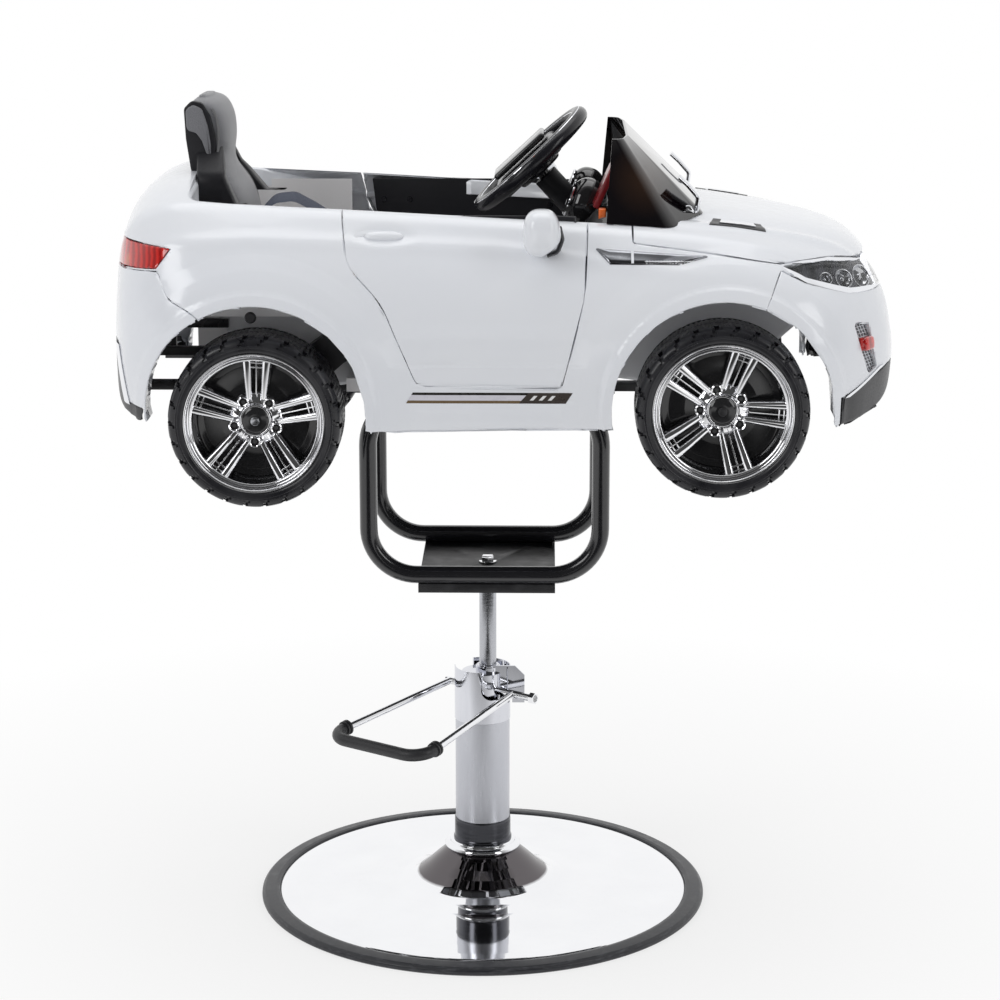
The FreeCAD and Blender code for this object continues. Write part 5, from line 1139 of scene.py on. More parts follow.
# A straight bar out from the hub, its top rising towards the lip
def spoke_bar(bm, turn, start, stop, offset, width, drop, depth, bevel, narrow=1.0):
    cube = bmesh.ops.create_cube(bm, size=2.0)["verts"]
    for vert in cube:
        reach = stop if vert.co.x > 0 else start
        top = 24.5 + 16.0 * (reach - 24.0) / 62.0
        share = 1.0 if vert.co.x > 0 else narrow
        across = (offset + vert.co.y * width / 2) * share
        vert.co = Vector((reach, across, top - drop if vert.co.z > 0 else top - drop - depth))
    edges = {edge for vert in cube for edge in vert.link_edges}
    top_edges = [edge for edge in edges if all(vert.co.z > 12 for vert in edge.verts)] if bevel > 1 else list(edges)
    made = bmesh.ops.bevel(bm, geom=top_edges, offset=bevel, affect="EDGES", segments=5, profile=0.5, material=-1, clamp_overlap=True)
    verts = set(made["verts"]) | {vert for vert in cube if vert.is_valid}
    bmesh.ops.rotate(bm, cent=(0, 0, 0), matrix=Matrix.Rotation(turn, 3, "Z"), verts=list(verts))


def rim_parts(first_turn):
    chrome, black = bmesh.new(), bmesh.new()
    turned(eased(lip_spots, 1.2, closed=True, steps=2), 144, closed=True, bm=chrome)
    turned(eased(hub_spots, 1.0, closed=True, steps=2), 96, closed=True, bm=chrome)
    turned(eased(dish_spots, 2.0, closed=True, steps=2), 96, closed=True, bm=black)
    turned(eased(cap_spots, 1.5, steps=3), 64, bm=black)
    for spoke in range(5):
        turn = math.radians(first_turn + 72 * spoke)
        for side in (1, -1):
            spoke_bar(chrome, turn, 27.0, 87.0, side * 13.6, 12.6, 0.0, 15.0, 5.4, 0.72)
        spoke_bar(chrome, turn, 36.0, 86.0, 0.0, 1.7, 2.0, 12.0, 0.4)
        for reach in (74.0, 80.5):
            spoke_bar(chrome, turn, reach, reach + 1.8, 0.0, 15.0, 1.6, 9.0, 0.4)
        spoke_bar(chrome, turn, 86.0, 90.0, 0.0, 38.0, 0.6, 10.0, 0.8)
        bolt_turn = turn + math.radians(36)
        middle = Vector((29.6 * math.cos(bolt_turn), 29.6 * math.sin(bolt_turn), 0))
        collar = turned(((8.8, 12), (8.6, 22), (7.8, 24.8), (6.7, 25.6), (5.6, 24.8), (5.4, 17), (5.4, 12)), 32, closed=True)
        bmesh.ops.translate(collar, vec=middle, verts=collar.verts)
        well = bmesh.ops.create_cone(black, cap_ends=True, segments=28, radius1=5.5, radius2=5.5, depth=8.0)["verts"]
        bmesh.ops.translate(black, vec=middle + Vector((0, 0, 16.5)), verts=well)
        nut = bmesh.ops.create_cone(collar, cap_ends=True, segments=6, radius1=3.6, radius2=3.2, depth=4.0)["verts"]
        bmesh.ops.translate(collar, vec=middle + Vector((0, 0, 20.6)), verts=nut)
        mesh = bpy.data.meshes.new("bolt")
        collar.to_mesh(mesh)
        collar.free()
        chrome.from_mesh(mesh)
    return chrome, black


# Laid-out wheels face up; on the car's right side they face out to -Y
def onto_hub(bm, x, z):
    bmesh.ops.rotate(bm, cent=(0, 0, 0), matrix=Matrix.Rotation(math.radians(90), 3, "X"), verts=bm.verts)
    bmesh.ops.translate(bm, vec=(x, -240.0, z), verts=bm.verts)
    return bm


for end, hub_x, hub_z, first_turn in (("rear", -299.0, 774.0, 15.0), ("front", 329.0, 789.0, -2.0)):
    chrome_bm, black_bm = rim_parts(first_turn)
    rights = [onto_hub(bm, hub_x, hub_z) for bm in (tyre_bm(), chrome_bm, black_bm)]
    lefts = [mirrored_copy(bm) for bm in rights]
    for side, (tyre, chrome, black) in (("right", rights), ("left", lefts)):
        spot = end + "_" + side
        install("tyre_shell_" + spot, tyre, tyre_rubber.material, "wheel_" + spot, ["tyre_" + spot], 30.0)
        install("rim_plated_" + spot, chrome, rim_chrome.material, "wheel_" + spot, ["rim_" + spot], 30.0)
        install("rim_dish_" + spot, black, dish_black.material, "wheel_" + spot, (), 30.0)

# Running gear: square steel tubes, axle, knuckles and gear housings, black or plain steel.
# They keep the source's solids, with eased corners and their own paint.
frame_paint = Finish("frame_paint", (0.016, 0.016, 0.018), 0.3)
runs = frame_paint.noise(30.0, 4.0)
frame_paint.feed("Base Color", frame_paint.shades(runs, (0.01, 0.01, 0.011), (0.035, 0.035, 0.038)))
frame_paint.feed("Roughness", frame_paint.span(runs, 0.3, 0.7, 0.24, 0.42))
frame_paint.feed("Normal", frame_paint.bump(frame_paint.noise(220.0), 0.06))
carried_over("chassis_tubes", "chassis_rails", frame_paint.material, "car", 1.5)
carried_over("gear_housings", "gearboxes", trim_black.material, "car", 3.0)
carried_over("rear_axle_bar", "rear_axle", ground_steel.material, "car", 0.5)
carried_over("knuckle_arm_right", "knuckle_right", frame_paint.material, "knuckle_right", 0.8)
carried_over("knuckle_arm_left", "knuckle_left", frame_paint.material, "knuckle_left", 0.8)

# Wheel wells: thin grey liners that close the body over the wheels, held by black push clips.
liner_grey = Finish("liner_grey", (0.7, 0.71, 0.73), 0.45)
dust_film = liner_grey.noise(12.0, 5.0)
liner_grey.feed("Base Color", liner_grey.shades(dust_film, (0.64, 0.645, 0.665), (0.76, 0.765, 0.785)))
liner_grey.feed("Roughness", liner_grey.span(dust_film, 0.3, 0.7, 0.42, 0.6))
liner_grey.feed("Normal", liner_grey.bump(liner_grey.noise(150.0), 0.06))
for name, (middle_x, middle_z), low_turn, high_turn in (("rear", arch_middles[0], 8, 118), ("front", arch_middles[1], 42, 172)):
    liner_bm = bmesh.new()
    bmesh.ops.create_grid(liner_bm, x_segments=48, y_segments=16, size=1.0)
    for vert in liner_bm.verts:
        turn = math.radians(low_turn + (high_turn - low_turn) * (vert.co.x + 1) / 2)
        depth = -243.0 + 96.0 * (vert.co.y + 1) / 2
        radius = 149.2 - 3.0 * (vert.co.y + 1) / 2
        vert.co = Vector((middle_x + radius * math.cos(turn), depth, middle_z + radius * math.sin(turn)))
    wall_bm = bmesh.new()
    bmesh.ops.create_grid(wall_bm, x_segments=48, y_segments=6, size=1.0)
    for vert in wall_bm.verts:
        turn = math.radians(low_turn + (high_turn - low_turn) * (vert.co.x + 1) / 2)
        radius = 74.0 + 72.2 * (vert.co.y + 1) / 2
        vert.co = Vector((middle_x + radius * math.cos(turn), -147.0, middle_z + radius * math.sin(turn)))
    mesh = bpy.data.meshes.new("wall")
    wall_bm.to_mesh(mesh)
    wall_bm.free()
    liner_bm.from_mesh(mesh)
    bmesh.ops.remove_doubles(liner_bm, verts=liner_bm.verts, dist=0.3)
    paired("well_liner_" + name, liner_bm, liner_grey.material, (), 2.0)
clip_bm = bmesh.new()
clip = bmesh.ops.create_cone(clip_bm, cap_ends=True, segments=24, radius1=8.0, radius2=6.0, depth=5.0)["verts"]
bmesh.ops.rotate(clip_bm, cent=(0, 0, 0), matrix=Matrix.Rotation(math.radians(90), 3, "X"), verts=clip)
bmesh.ops.translate(clip_bm, vec=(-306.0, -238.0, 909.0), verts=clip)
paired("liner_clip", clip_bm, trim_black.material)

# Cockpit tub: one pale vacuum-formed moulding with the floor, the foot well and the side walls.
# Its solid is in the source. Here it gets its grain, and below 801.5 mm its colour turns near black as painted shade
# underneath.
tub_plastic = Finish("tub_plastic", (0.8, 0.79, 0.8), 0.42)
leather_print = tub_plastic.node("ShaderNodeTexVoronoi", inputs={"Vector": tub_plastic.place(), "Scale": 320.0})
pale = tub_plastic.shades(tub_plastic.noise(7.0, 4.0), (0.84, 0.83, 0.835), (0.9, 0.89, 0.895))
# Painted shade: below 801.5 mm the tub's colour turns near black, for the shade under it
painted_shade_under_tub = tub_plastic.span(tub_plastic.axis("Z"), 0.8012, 0.8018, 1.0, 0.0)
tub_plastic.feed("Base Color", tub_plastic.node("ShaderNodeMix", {"data_type": "RGBA"}, {0: painted_shade_under_tub, 6: pale, 7: (0.012, 0.012, 0.014, 1)}, output=2))
tub_plastic.feed("Roughness", tub_plastic.span(tub_plastic.noise(90.0), 0.3, 0.7, 0.36, 0.5))
tub_plastic.feed("Normal", tub_plastic.bump(leather_print, 0.12, 0.0005))
dress("cockpit_tub", tub_plastic)

# Door cards: black grained trays with an armrest ledge, screwed into the doors from inside.
grained_black = Finish("grained_black", (0.01, 0.01, 0.013), 0.36, Specular_IOR_Level=0.3)
grain_cells = grained_black.node("ShaderNodeTexVoronoi", inputs={"Vector": grained_black.place(), "Scale": 420.0})
grained_black.feed("Base Color", grained_black.shades(grained_black.noise(14.0, 4.0), (0.007, 0.007, 0.009), (0.017, 0.017, 0.021)))
grained_black.feed("Roughness", grained_black.span(grain_cells, 0.0, 0.8, 0.3, 0.48))
grained_black.feed("Normal", grained_black.bump(grain_cells, 0.1, 0.0003))
for side, sign in (("right", -1), ("left", 1)):
    lining = carried_over("door_lining_" + side, "door_card_" + side, grained_black.material, "door_" + side, 1.2)
    for vert in lining.data.vertices:
        if abs(vert.co.y) < 0.205:
            vert.co.z += 0.011 * min(1.0, max(0.0, (vert.co.z - 1.018) / 0.008))
    screws_bm = bmesh.new()
    for x, z in ((-150.0, 1012.0), (-112.0, 1012.0), (96.0, 1004.0)):
        head = bmesh.ops.create_cone(screws_bm, cap_ends=True, segments=20, radius1=4.6, radius2=3.6, depth=2.4)["verts"]
        bmesh.ops.rotate(screws_bm, cent=(0, 0, 0), matrix=Matrix.Rotation(math.radians(90 * sign), 3, "X"), verts=head)
        bmesh.ops.translate(screws_bm, vec=(x, sign * 198.2, z), verts=head)
    install("lining_screws_" + side, screws_bm, satin_black.material, "door_" + side)


# A tube along a line of spots, closed at its ends, or a flat strap with its width along y
def tube_along(spots, radius, sides=10, flat=None, bm=None):
    line = [Vector(spot) for spot in spots]
    made = bmesh.new()
    bmesh.ops.create_grid(made, x_segments=len(line) - 1, y_segments=sides, size=1.0)
    rests = {}
    for index, spot in enumerate(line):
        ahead = (line[min(index + 1, len(line) - 1)] - line[max(index - 1, 0)]).normalized()
        side = ahead.cross(Vector((0, 1, 0)) if abs(ahead.y) < 0.9 else Vector((0, 0, 1))).normalized()
        rests[index] = (spot, side, ahead.cross(side).normalized())
    for vert in made.verts:
        spot, side, other = rests[round((vert.co.x + 1) / 2 * (len(line) - 1))]
        turn = math.pi * (vert.co.y + 1)
        wide = flat or radius
        vert.co = spot + side * radius * math.cos(turn) + other * wide * math.sin(turn)
    bmesh.ops.remove_doubles(made, verts=made.verts, dist=0.001)
    bmesh.ops.holes_fill(made, edges=[edge for edge in made.edges if edge.is_boundary], sides=0)
    bmesh.ops.recalc_face_normals(made, faces=made.faces)
    if bm is None:
        return made
    mesh = bpy.data.meshes.new("tube")
    made.to_mesh(mesh)
    made.free()
    bm.from_mesh(mesh)
    return bm


# A soft body built up level by level: height, back, front, half width, with rounded corners
def stacked(levels, around=72, rows=64, power=4.5, crown=5.0):
    marks = np.array(levels, float)
    knots = marks[:, 0]
    heights = knots[0] + (knots[-1] - knots[0]) * (1 - np.cos(np.linspace(0, math.pi, rows + 1))) / 2
    smooth = smooth_through(knots, marks, heights)
    bm = bmesh.new()
    bmesh.ops.create_grid(bm, x_segments=around, y_segments=rows, size=1.0)
    for vert in bm.verts:
        row = round((vert.co.y + 1) / 2 * rows)
        height, back, front, half = smooth[row]
        turn = math.pi * (vert.co.x + 1)
        edge = min(1.0, (height - knots[0]) / 12.0, (knots[-1] - height) / 12.0)
        swell = (1 - (1 - max(edge, 0.0)) ** 2.4) ** (1 / 2.4)
        swell = 0.0 if row in (0, rows) else max(swell, 0.6)
        c, s = math.cos(turn), math.sin(turn)
        c = math.copysign(abs(c) ** (2 / power), c)
        s = math.copysign(abs(s) ** (2 / power), s)
        middle, reach = (back + front) / 2, (front - back) / 2
        bulge = crown * max(c, 0) * (1 - s * s)
        vert.co = Vector((middle + reach * c * swell + bulge * swell, half * s * swell, height))
    bmesh.ops.remove_doubles(bm, verts=bm.verts, dist=0.001)
    bmesh.ops.recalc_face_normals(bm, faces=bm.faces)
    return bm


# Seat: a black moulded shell with a grey side inlay, and a padded cover in silver-grey
# leatherette over foam, with a sewn welt at its edges. The whole seat sits a little askew.
seat_turn = Matrix.Rotation(math.radians(-3.0), 3, "Z")


def seat_askew(bm):
    bmesh.ops.rotate(bm, cent=(-380.0, 0, 0), matrix=seat_turn, verts=bm.verts)
    return bm


bucket = carried_over("seat_bucket", "seat_shell", grained_black.material, "car", 4.0)
for vert in bucket.data.vertices:
    x, y, z = vert.co
    forward = min(1.0, max(0.0, (x + 0.372) / 0.03))
    vert.co.x += 0.1 * y * forward * min(1.0, max(0.0, (1.1 - z) / 0.05))
    vert.co.y *= np.interp(z, (1.12, 1.14), (1.0, 0.92))
    vert.co.z = np.interp(z, (1.04, 1.092, 1.138, 1.192), (1.04, 1.083, 1.12, 1.176))
leatherette = Finish("leatherette", (0.24, 0.245, 0.26), 0.34, Sheen_Weight=0.2, Coat_Weight=0.15, Coat_Roughness=0.3)
hide = leatherette.node("ShaderNodeTexVoronoi", {"feature": "DISTANCE_TO_EDGE"}, {"Vector": leatherette.place(), "Scale": 360.0})
hide_lines = leatherette.span(hide, 0.0, 0.12)
worn = leatherette.noise(9.0, 5.0)
leatherette.feed("Base Color", leatherette.shades(leatherette.span(worn, 0.3, 0.7), (0.13, 0.132, 0.145), (0.22, 0.222, 0.24)))
leatherette.feed("Roughness", leatherette.span(worn, 0.3, 0.7, 0.34, 0.52))
height = leatherette.axis("Z")
waist = leatherette.span(height, 1.03, 1.09) * leatherette.span(height, 1.1, 1.14, 1.0, 0.15)
creases = leatherette.noise(26.0, 3.0, leatherette.stretch((0.6, 0.6, 2.4))) * (waist + 0.2)
leatherette.feed("Normal", leatherette.bump(hide_lines, 0.6, 0.0007, leatherette.bump(creases, 0.5, 0.006)))
pad_levels = (
    (884, -382, -306, 82), (930, -384, -311, 85), (985, -386, -318, 86), (1040, -388, -327, 85), (1066, -392, -339, 80),
    (1084, -396, -351, 71), (1100, -401, -356, 67), (1122, -403, -354, 66), (1146, -404, -354, 66), (1168, -403, -360, 66),
    (1179, -400, -368, 66), (1187, -396, -376, 63),
)
pad_bm = seat_askew(stacked(pad_levels))
pad = install("seat_cover", pad_bm, leatherette.material, "car", ["seat_pad"], 80.0)
welt_bm = bmesh.new()
for sign in (1, -1):
    fine = smooth_through([level[0] for level in pad_levels], pad_levels, np.linspace(892, 1172, 70))
    tube_along([(front - 5.5, sign * (half + 0.6), height) for height, back, front, half in fine], 1.9, 10, bm=welt_bm)
welt = Finish("welt_cord", (0.15, 0.15, 0.156), 0.4)
twist = welt.node("ShaderNodeTexWave", {"bands_direction": "Z"}, {"Vector": welt.place(), "Scale": 300.0})
welt.feed("Base Color", welt.shades(twist, (0.12, 0.12, 0.126), (0.168, 0.168, 0.174)))
welt.feed("Roughness", welt.span(twist, 0.0, 1.0, 0.36, 0.5))
welt.feed("Normal", welt.bump(twist, 0.3, 0.0004))
install("seat_welt", seat_askew(welt_bm), welt.material, "car")
wing_line = (
    (-405.0, 1130.0), (-407.0, 1172.0), (-396.0, 1183.0), (-381.0, 1180.0), (-370.0, 1162.0), (-364.0, 1137.0),
    (-363.0, 1116.0), (-365.0, 1098.0), (-372.0, 1084.0), (-398.0, 1080.0),
)
inlay_line = (
    (-403.0, 1142.0), (-404.0, 1171.0), (-393.0, 1178.0), (-381.0, 1172.0), (-373.5, 1149.0), (-369.5, 1123.0),
    (-370.0, 1103.0), (-376.0, 1110.0), (-382.0, 1128.0), (-390.0, 1139.0),
)


# A flat moulding cut to a side-view outline, with its outer edge rolled over
def moulded_plate(outline, sign, inner, outer, roll):
    bm = bmesh.new()
    ring = [bm.verts.new((spot.x, sign * inner, spot.y)) for spot in eased(outline, 9.0, closed=True, steps=5)]
    for pair in zip(ring, ring[1:] + ring[:1]):
        bm.edges.new(pair)
    face = bmesh.ops.edgeloop_fill(bm, edges=bm.edges[:])["faces"]
    grown = bmesh.ops.extrude_face_region(bm, geom=face)["geom"]
    moved = [piece for piece in grown if isinstance(piece, bmesh.types.BMVert)]
    bmesh.ops.translate(bm, vec=(0, sign * (outer - inner), 0), verts=moved)
    edges = [edge for edge in bm.edges if all(vert in moved for vert in edge.verts)]
    bmesh.ops.bevel(bm, geom=edges, offset=roll, affect="EDGES", segments=4, profile=0.5, material=-1)
    bmesh.ops.recalc_face_normals(bm, faces=bm.faces)
    return bm


for side, sign in (("right", -1), ("left", 1)):
    wing_bm = seat_askew(moulded_plate(wing_line, sign, 60.0, 70.0, 2.5))
    install("seat_wing_" + side, wing_bm, grained_black.material, "car")
    inlay_bm = seat_askew(moulded_plate(inlay_line, sign, 68.0, 72.5, 2.0))
    inlay = install("seat_inlay_" + side, inlay_bm, leatherette.material, "car")
cushion_levels = ((806, -288, -174, 98), (825, -290, -172, 107), (850, -290, -172, 108), (868, -288, -174, 104), (884, -280, -182, 92))
cushion = install("seat_base_cushion", stacked(cushion_levels, rows=28, crown=2.0), leatherette.material, "car", ["seat_cushion"], 80.0)

# Lap belt: blue-grey woven webbing that rises over the side wall's edge beside the seat.
webbing = Finish("webbing", (0.045, 0.055, 0.085), 0.7)
weave = webbing.node("ShaderNodeTexWave", {"bands_direction": "DIAGONAL"}, {"Vector": webbing.place(), "Scale": 420.0})
webbing.feed("Base Color", webbing.shades(weave, (0.035, 0.042, 0.066), (0.075, 0.088, 0.125)))
webbing.feed("Roughness", webbing.span(weave, 0.0, 1.0, 0.6, 0.8))
webbing.feed("Normal", webbing.bump(weave, 0.4, 0.0004))
belt_spots = [(x, -157.0, z) for x, z in eased((
    (-318.0, 910.0), (-314.0, 990.0), (-300.0, 1036.0), (-278.0, 1060.0), (-250.0, 1063.0), (-222.0, 1048.0), (-200.0, 1034.0), (-198.0, 990.0), (-204.0, 910.0),
), (0, 30.0, 24.0, 24.0, 24.0, 24.0, 20.0, 30.0, 0), steps=10)]
belt_bm = tube_along(belt_spots, 1.2, 12, 13.0)
for vert in belt_bm.verts:
    vert.co.z += 0.4 * (vert.co.y + 157.0) * max(0.0, min(1.0, (vert.co.z - 1000.0) / 40.0))
install("belt_webbing", belt_bm, webbing.material, "car", ["belt_strap"], 60.0)


# Steering wheel: black soft-touch rim with a silver seam line, three spokes and a domed hub.
# It is laid out round the vertical axis, driver's side up, then leaned back onto its column.
def on_column(bm):
    bmesh.ops.rotate(bm, cent=(0, 0, 0), matrix=Matrix.Rotation(math.radians(-42.8), 3, "Y"), verts=bm.verts)
    bmesh.ops.translate(bm, vec=(69.0, 0.0, 1095.0), verts=bm.verts)
    return bm


# A block with all its edges rounded, leaned over about the y axis
def eased_block(centre, size, bevel, lean=0.0):
    bm = bmesh.new()
    bmesh.ops.create_cube(bm, size=1.0)
    bmesh.ops.scale(bm, vec=size, verts=bm.verts)
    bmesh.ops.bevel(bm, geom=bm.edges[:], offset=bevel, affect="EDGES", segments=4, profile=0.5, material=-1)
    bmesh.ops.rotate(bm, cent=(0, 0, 0), matrix=Matrix.Rotation(math.radians(lean), 3, "Y"), verts=bm.verts)
    bmesh.ops.translate(bm, vec=centre, verts=bm.verts)
    return bm


soft_touch = Finish("soft_touch", (0.008, 0.008, 0.011), 0.24, Specular_IOR_Level=0.3, Coat_Weight=0.15, Coat_Roughness=0.12)
pebbles = soft_touch.noise(30.0, 3.0)
soft_touch.feed("Base Color", soft_touch.shades(soft_touch.noise(18.0, 4.0), (0.006, 0.006, 0.008), (0.014, 0.014, 0.018)))
soft_touch.feed("Roughness", soft_touch.span(pebbles, 0.3, 0.7, 0.18, 0.26))
soft_touch.feed("Normal", soft_touch.bump(soft_touch.noise(40.0), 0.01))
wheel_bm = bmesh.new()
rim_ring = [(93.0 + 11.0 * math.cos(math.pi * k / 12), 11.0 * math.sin(math.pi * k / 12)) for k in range(24)]
turned(rim_ring, 144, closed=True, bm=wheel_bm)
for turn in (90, 270, 180):
    spoke = bmesh.ops.create_cube(wheel_bm, size=1.0)["verts"]
    for vert in spoke:
        wide = 30.0 if vert.co.x < 0 else 22.0
        vert.co = Vector((55.0 + vert.co.x * 74.0, vert.co.y * wide, -9.5 + vert.co.z * 9.0 + (2.0 if vert.co.x > 0 else 0)))
    edges = list({edge for vert in spoke for edge in vert.link_edges})
    made = bmesh.ops.bevel(wheel_bm, geom=edges, offset=3.0, affect="EDGES", segments=3, profile=0.5, material=-1)
    verts = set(made["verts"]) | {vert for vert in spoke if vert.is_valid}
    bmesh.ops.rotate(wheel_bm, cent=(0, 0, 0), matrix=Matrix.Rotation(math.radians(turn), 3, "Z"), verts=list(verts))
hub_profile = ((9, -23), (33, -23), (35, -20), (34.5, 0), (32.5, 5.5), (29, 7.6), (25.4, 8), (25.0, 4), (9, 2))
turned(eased(hub_profile, 2.5, closed=True, steps=4), 96, closed=True, bm=wheel_bm)
turned(((0, -76), (9, -76), (9, -20), (0, -20)), 40, bm=wheel_bm)
install("steering_rim", on_column(wheel_bm), soft_touch.material, "steering", ["steering_wheel"])
seam_bm = bmesh.new()
for around in (52, 128):
    x, z = 93.0 + 11.0 * math.cos(math.radians(around)), 11.0 * math.sin(math.radians(around))
    turned([(x + 0.8 * math.cos(k * math.pi / 4), z + 0.8 * math.sin(k * math.pi / 4)) for k in range(8)], 144, closed=True, bm=seam_bm)
install("steering_seam", on_column(seam_bm), vacuum_chrome.material, "steering")
buttons_bm = bmesh.new()
for turn, reach in ((90, 44), (90, 56), (270, 44), (270, 56), (180, 50)):
    button = bmesh.ops.create_uvsphere(buttons_bm, u_segments=20, v_segments=12, radius=4.2)["verts"]
    bmesh.ops.scale(buttons_bm, vec=(1, 1, 0.6), verts=button)
    spot = Vector((reach * math.cos(math.radians(turn)), reach * math.sin(math.radians(turn)), -4.6))
    bmesh.ops.translate(buttons_bm, vec=spot, verts=button)
install("steering_buttons", on_column(buttons_bm), liner_grey.material, "steering")
pad_housing = eased_block((0, 0, -4.0), (112.0, 96.0, 24.5), 10.0)
bmesh.ops.translate(pad_housing, vec=(-6.0, 0, 0), verts=pad_housing.verts)
install("steering_boss", on_column(pad_housing), soft_touch.material, "steering")
horn_block = eased_block((-6.0, 0, 16.4), (92.0, 76.0, 9.0), 4.3)
install("horn_cap", on_column(horn_block), dish_black.material, "horn", ["horn_pad"])
carried_over("column_tube", "steering_column", grained_black.material, "car", 0.8)

# Dashboard: a black moulding with two hooded instrument pods in bright bezels.
# A dark red and an orange switch block sit at its near end, by the windscreen.
gloss_black = Finish("gloss_black", (0.01, 0.01, 0.011), 0.08, Coat_Weight=0.6, Coat_Roughness=0.04)
swirl = gloss_black.noise(22.0, 4.0)
gloss_black.feed("Base Color", gloss_black.shades(swirl, (0.007, 0.007, 0.008), (0.018, 0.018, 0.019)))
gloss_black.feed("Roughness", gloss_black.span(swirl, 0.3, 0.7, 0.05, 0.13))
gloss_black.feed("Normal", gloss_black.bump(swirl, 0.03))
dash_bm = bmesh.new()
dash_bm.from_mesh(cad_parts["dashboard"].data)
bmesh.ops.scale(dash_bm, vec=(1000, 1000, 1000), verts=dash_bm.verts)
bmesh.ops.remove_doubles(dash_bm, verts=dash_bm.verts, dist=0.01)
everything = dash_bm.verts[:] + dash_bm.edges[:] + dash_bm.faces[:]
cut_line = bmesh.ops.bisect_plane(dash_bm, geom=everything, plane_co=(0, 0, 1041.0), plane_no=(0, 0, 1), clear_outer=True)["geom_cut"]
rims = [piece for piece in cut_line if isinstance(piece, bmesh.types.BMEdge) and piece.is_boundary]
bmesh.ops.holes_fill(dash_bm, edges=rims, sides=0)
install("dash_moulding", dash_bm, gloss_black.material, "car", ["dashboard"])
hoods_bm = bmesh.new()
bezels_bm = bmesh.new()
for side in (-62.0, 62.0):
    hood = bmesh.ops.create_uvsphere(hoods_bm, u_segments=56, v_segments=36, radius=1.0)["verts"]
    for vert in hood:
        reach = vert.co
        back = 1.0 - 0.22 * max(0.0, reach.x)
        vert.co = Vector((29.0 * math.copysign(abs(reach.x) ** 0.75, reach.x), 31.0 * reach.y * back, 37.0 * reach.z * back))
    bmesh.ops.rotate(hoods_bm, cent=(0, 0, 0), matrix=Matrix.Rotation(math.radians(20), 3, "Y"), verts=hood)
    bmesh.ops.translate(hoods_bm, vec=(147.0, side, 1040.0), verts=hood)
    ring = turned([(25.0 + 1.8 * math.cos(k * math.pi / 4), 1.8 * math.sin(k * math.pi / 4)) for k in range(8)], 72, closed=True)
    bmesh.ops.rotate(ring, cent=(0, 0, 0), matrix=Matrix.Rotation(math.radians(-70), 3, "Y"), verts=ring.verts)
    bmesh.ops.translate(ring, vec=(124.0, side, 1049.0), verts=ring.verts)
    mesh = bpy.data.meshes.new("bezel")
    ring.to_mesh(mesh)
    ring.free()
    bezels_bm.from_mesh(mesh)
install("dash_hoods", hoods_bm, gloss_black.material, "car", (), 60.0)
install("dash_bezels", bezels_bm, vacuum_chrome.material, "car")
switch_red = Finish("switch_red", (0.2, 0.01, 0.014), 0.2)
switch_red.feed("Base Color", switch_red.shades(switch_red.noise(60.0), (0.15, 0.008, 0.012), (0.3, 0.015, 0.02)))
switch_red.feed("Roughness", switch_red.span(switch_red.noise(120.0), 0.3, 0.7, 0.14, 0.28))
switch_red.feed("Normal", switch_red.bump(switch_red.noise(90.0), 0.05))
switch_orange = Finish("switch_orange", (0.75, 0.13, 0.015), 0.3)
switch_orange.feed("Base Color", switch_orange.shades(switch_orange.noise(60.0), (0.62, 0.1, 0.012), (0.85, 0.18, 0.03)))
switch_orange.feed("Roughness", switch_orange.span(switch_orange.noise(120.0), 0.3, 0.7, 0.22, 0.38))
switch_orange.feed("Normal", switch_orange.bump(switch_orange.noise(90.0), 0.05))


install("switch_block_red", eased_block((171.0, -110.0, 1072.0), (9.0, 60.0, 60.0), 2.0, 24.0), switch_red.material, "car")
install("switch_block_orange", eased_block((167.0, -186.0, 1034.0), (10.0, 16.0, 34.0), 2.0), switch_orange.material, "car")

# Windscreen: a smoked, high-gloss visor that stands on the cowl, with a bright line moulded
# along its upper edge. Chromed hinge brackets hold its front corners on the bonnet.
smoked = Finish("smoked_visor", (0.01, 0.007, 0.006), 0.05, Coat_Weight=0.4, Coat_Roughness=0.02)
# Painted glow: a warm brown patch is painted round one spot in the visor's middle
from_painted_glow = smoked.node("ShaderNodeVectorMath", {"operation": "DISTANCE"}, [smoked.stretch((1, 0, 1)), (0.225, 0, 1.09)], output=1)
smoked.feed("Base Color", smoked.shades(smoked.span(from_painted_glow, 0.0, 0.05, 1.0, 0.0), (0.003, 0.002, 0.003), (0.028, 0.014, 0.008)))
smoked.feed("Roughness", smoked.span(smoked.noise(16.0, 4.0), 0.3, 0.7, 0.03, 0.08))
smoked.feed("Normal", smoked.bump(smoked.noise(9.0, 2.0), 0.03, 0.003))
carried_over("visor", "windscreen", smoked.material, "car", 0.8)
hinge_line = [(x, -138.0, z) for x, z in eased(
    ((272.0, 1088.0), (284.0, 1077.0), (299.0, 1060.0), (296.0, 1042.0), (284.0, 1032.0)), (0, 6.0, 9.0, 6.0, 0), steps=5
)]
hinge_bm = tube_along(hinge_line, 3.6, 16, 11.0)
barrel = bmesh.ops.create_cone(hinge_bm, cap_ends=True, segments=40, radius1=9.5, radius2=9.5, depth=28.0)["verts"]
rims = [edge for vert in barrel for edge in vert.link_edges if abs(edge.verts[0].co.z - edge.verts[1].co.z) < 0.1]
made = bmesh.ops.bevel(hinge_bm, geom=list(set(rims)), offset=2.0, affect="EDGES", segments=3, profile=0.5, material=-1)
barrel = list({vert for vert in barrel if vert.is_valid} | set(made["verts"]))
bmesh.ops.rotate(hinge_bm, cent=(0, 0, 0), matrix=Matrix.Rotation(math.radians(90), 3, "X"), verts=barrel)
bmesh.ops.translate(hinge_bm, vec=(283.0, -138.0, 1041.0), verts=barrel)
hinge_left_bm = mirrored_copy(hinge_bm)
install("visor_hinge_right", hinge_bm, vacuum_chrome.material, "car", ["screen_hinges"])
install("visor_hinge_left", hinge_left_bm, vacuum_chrome.material, "car")


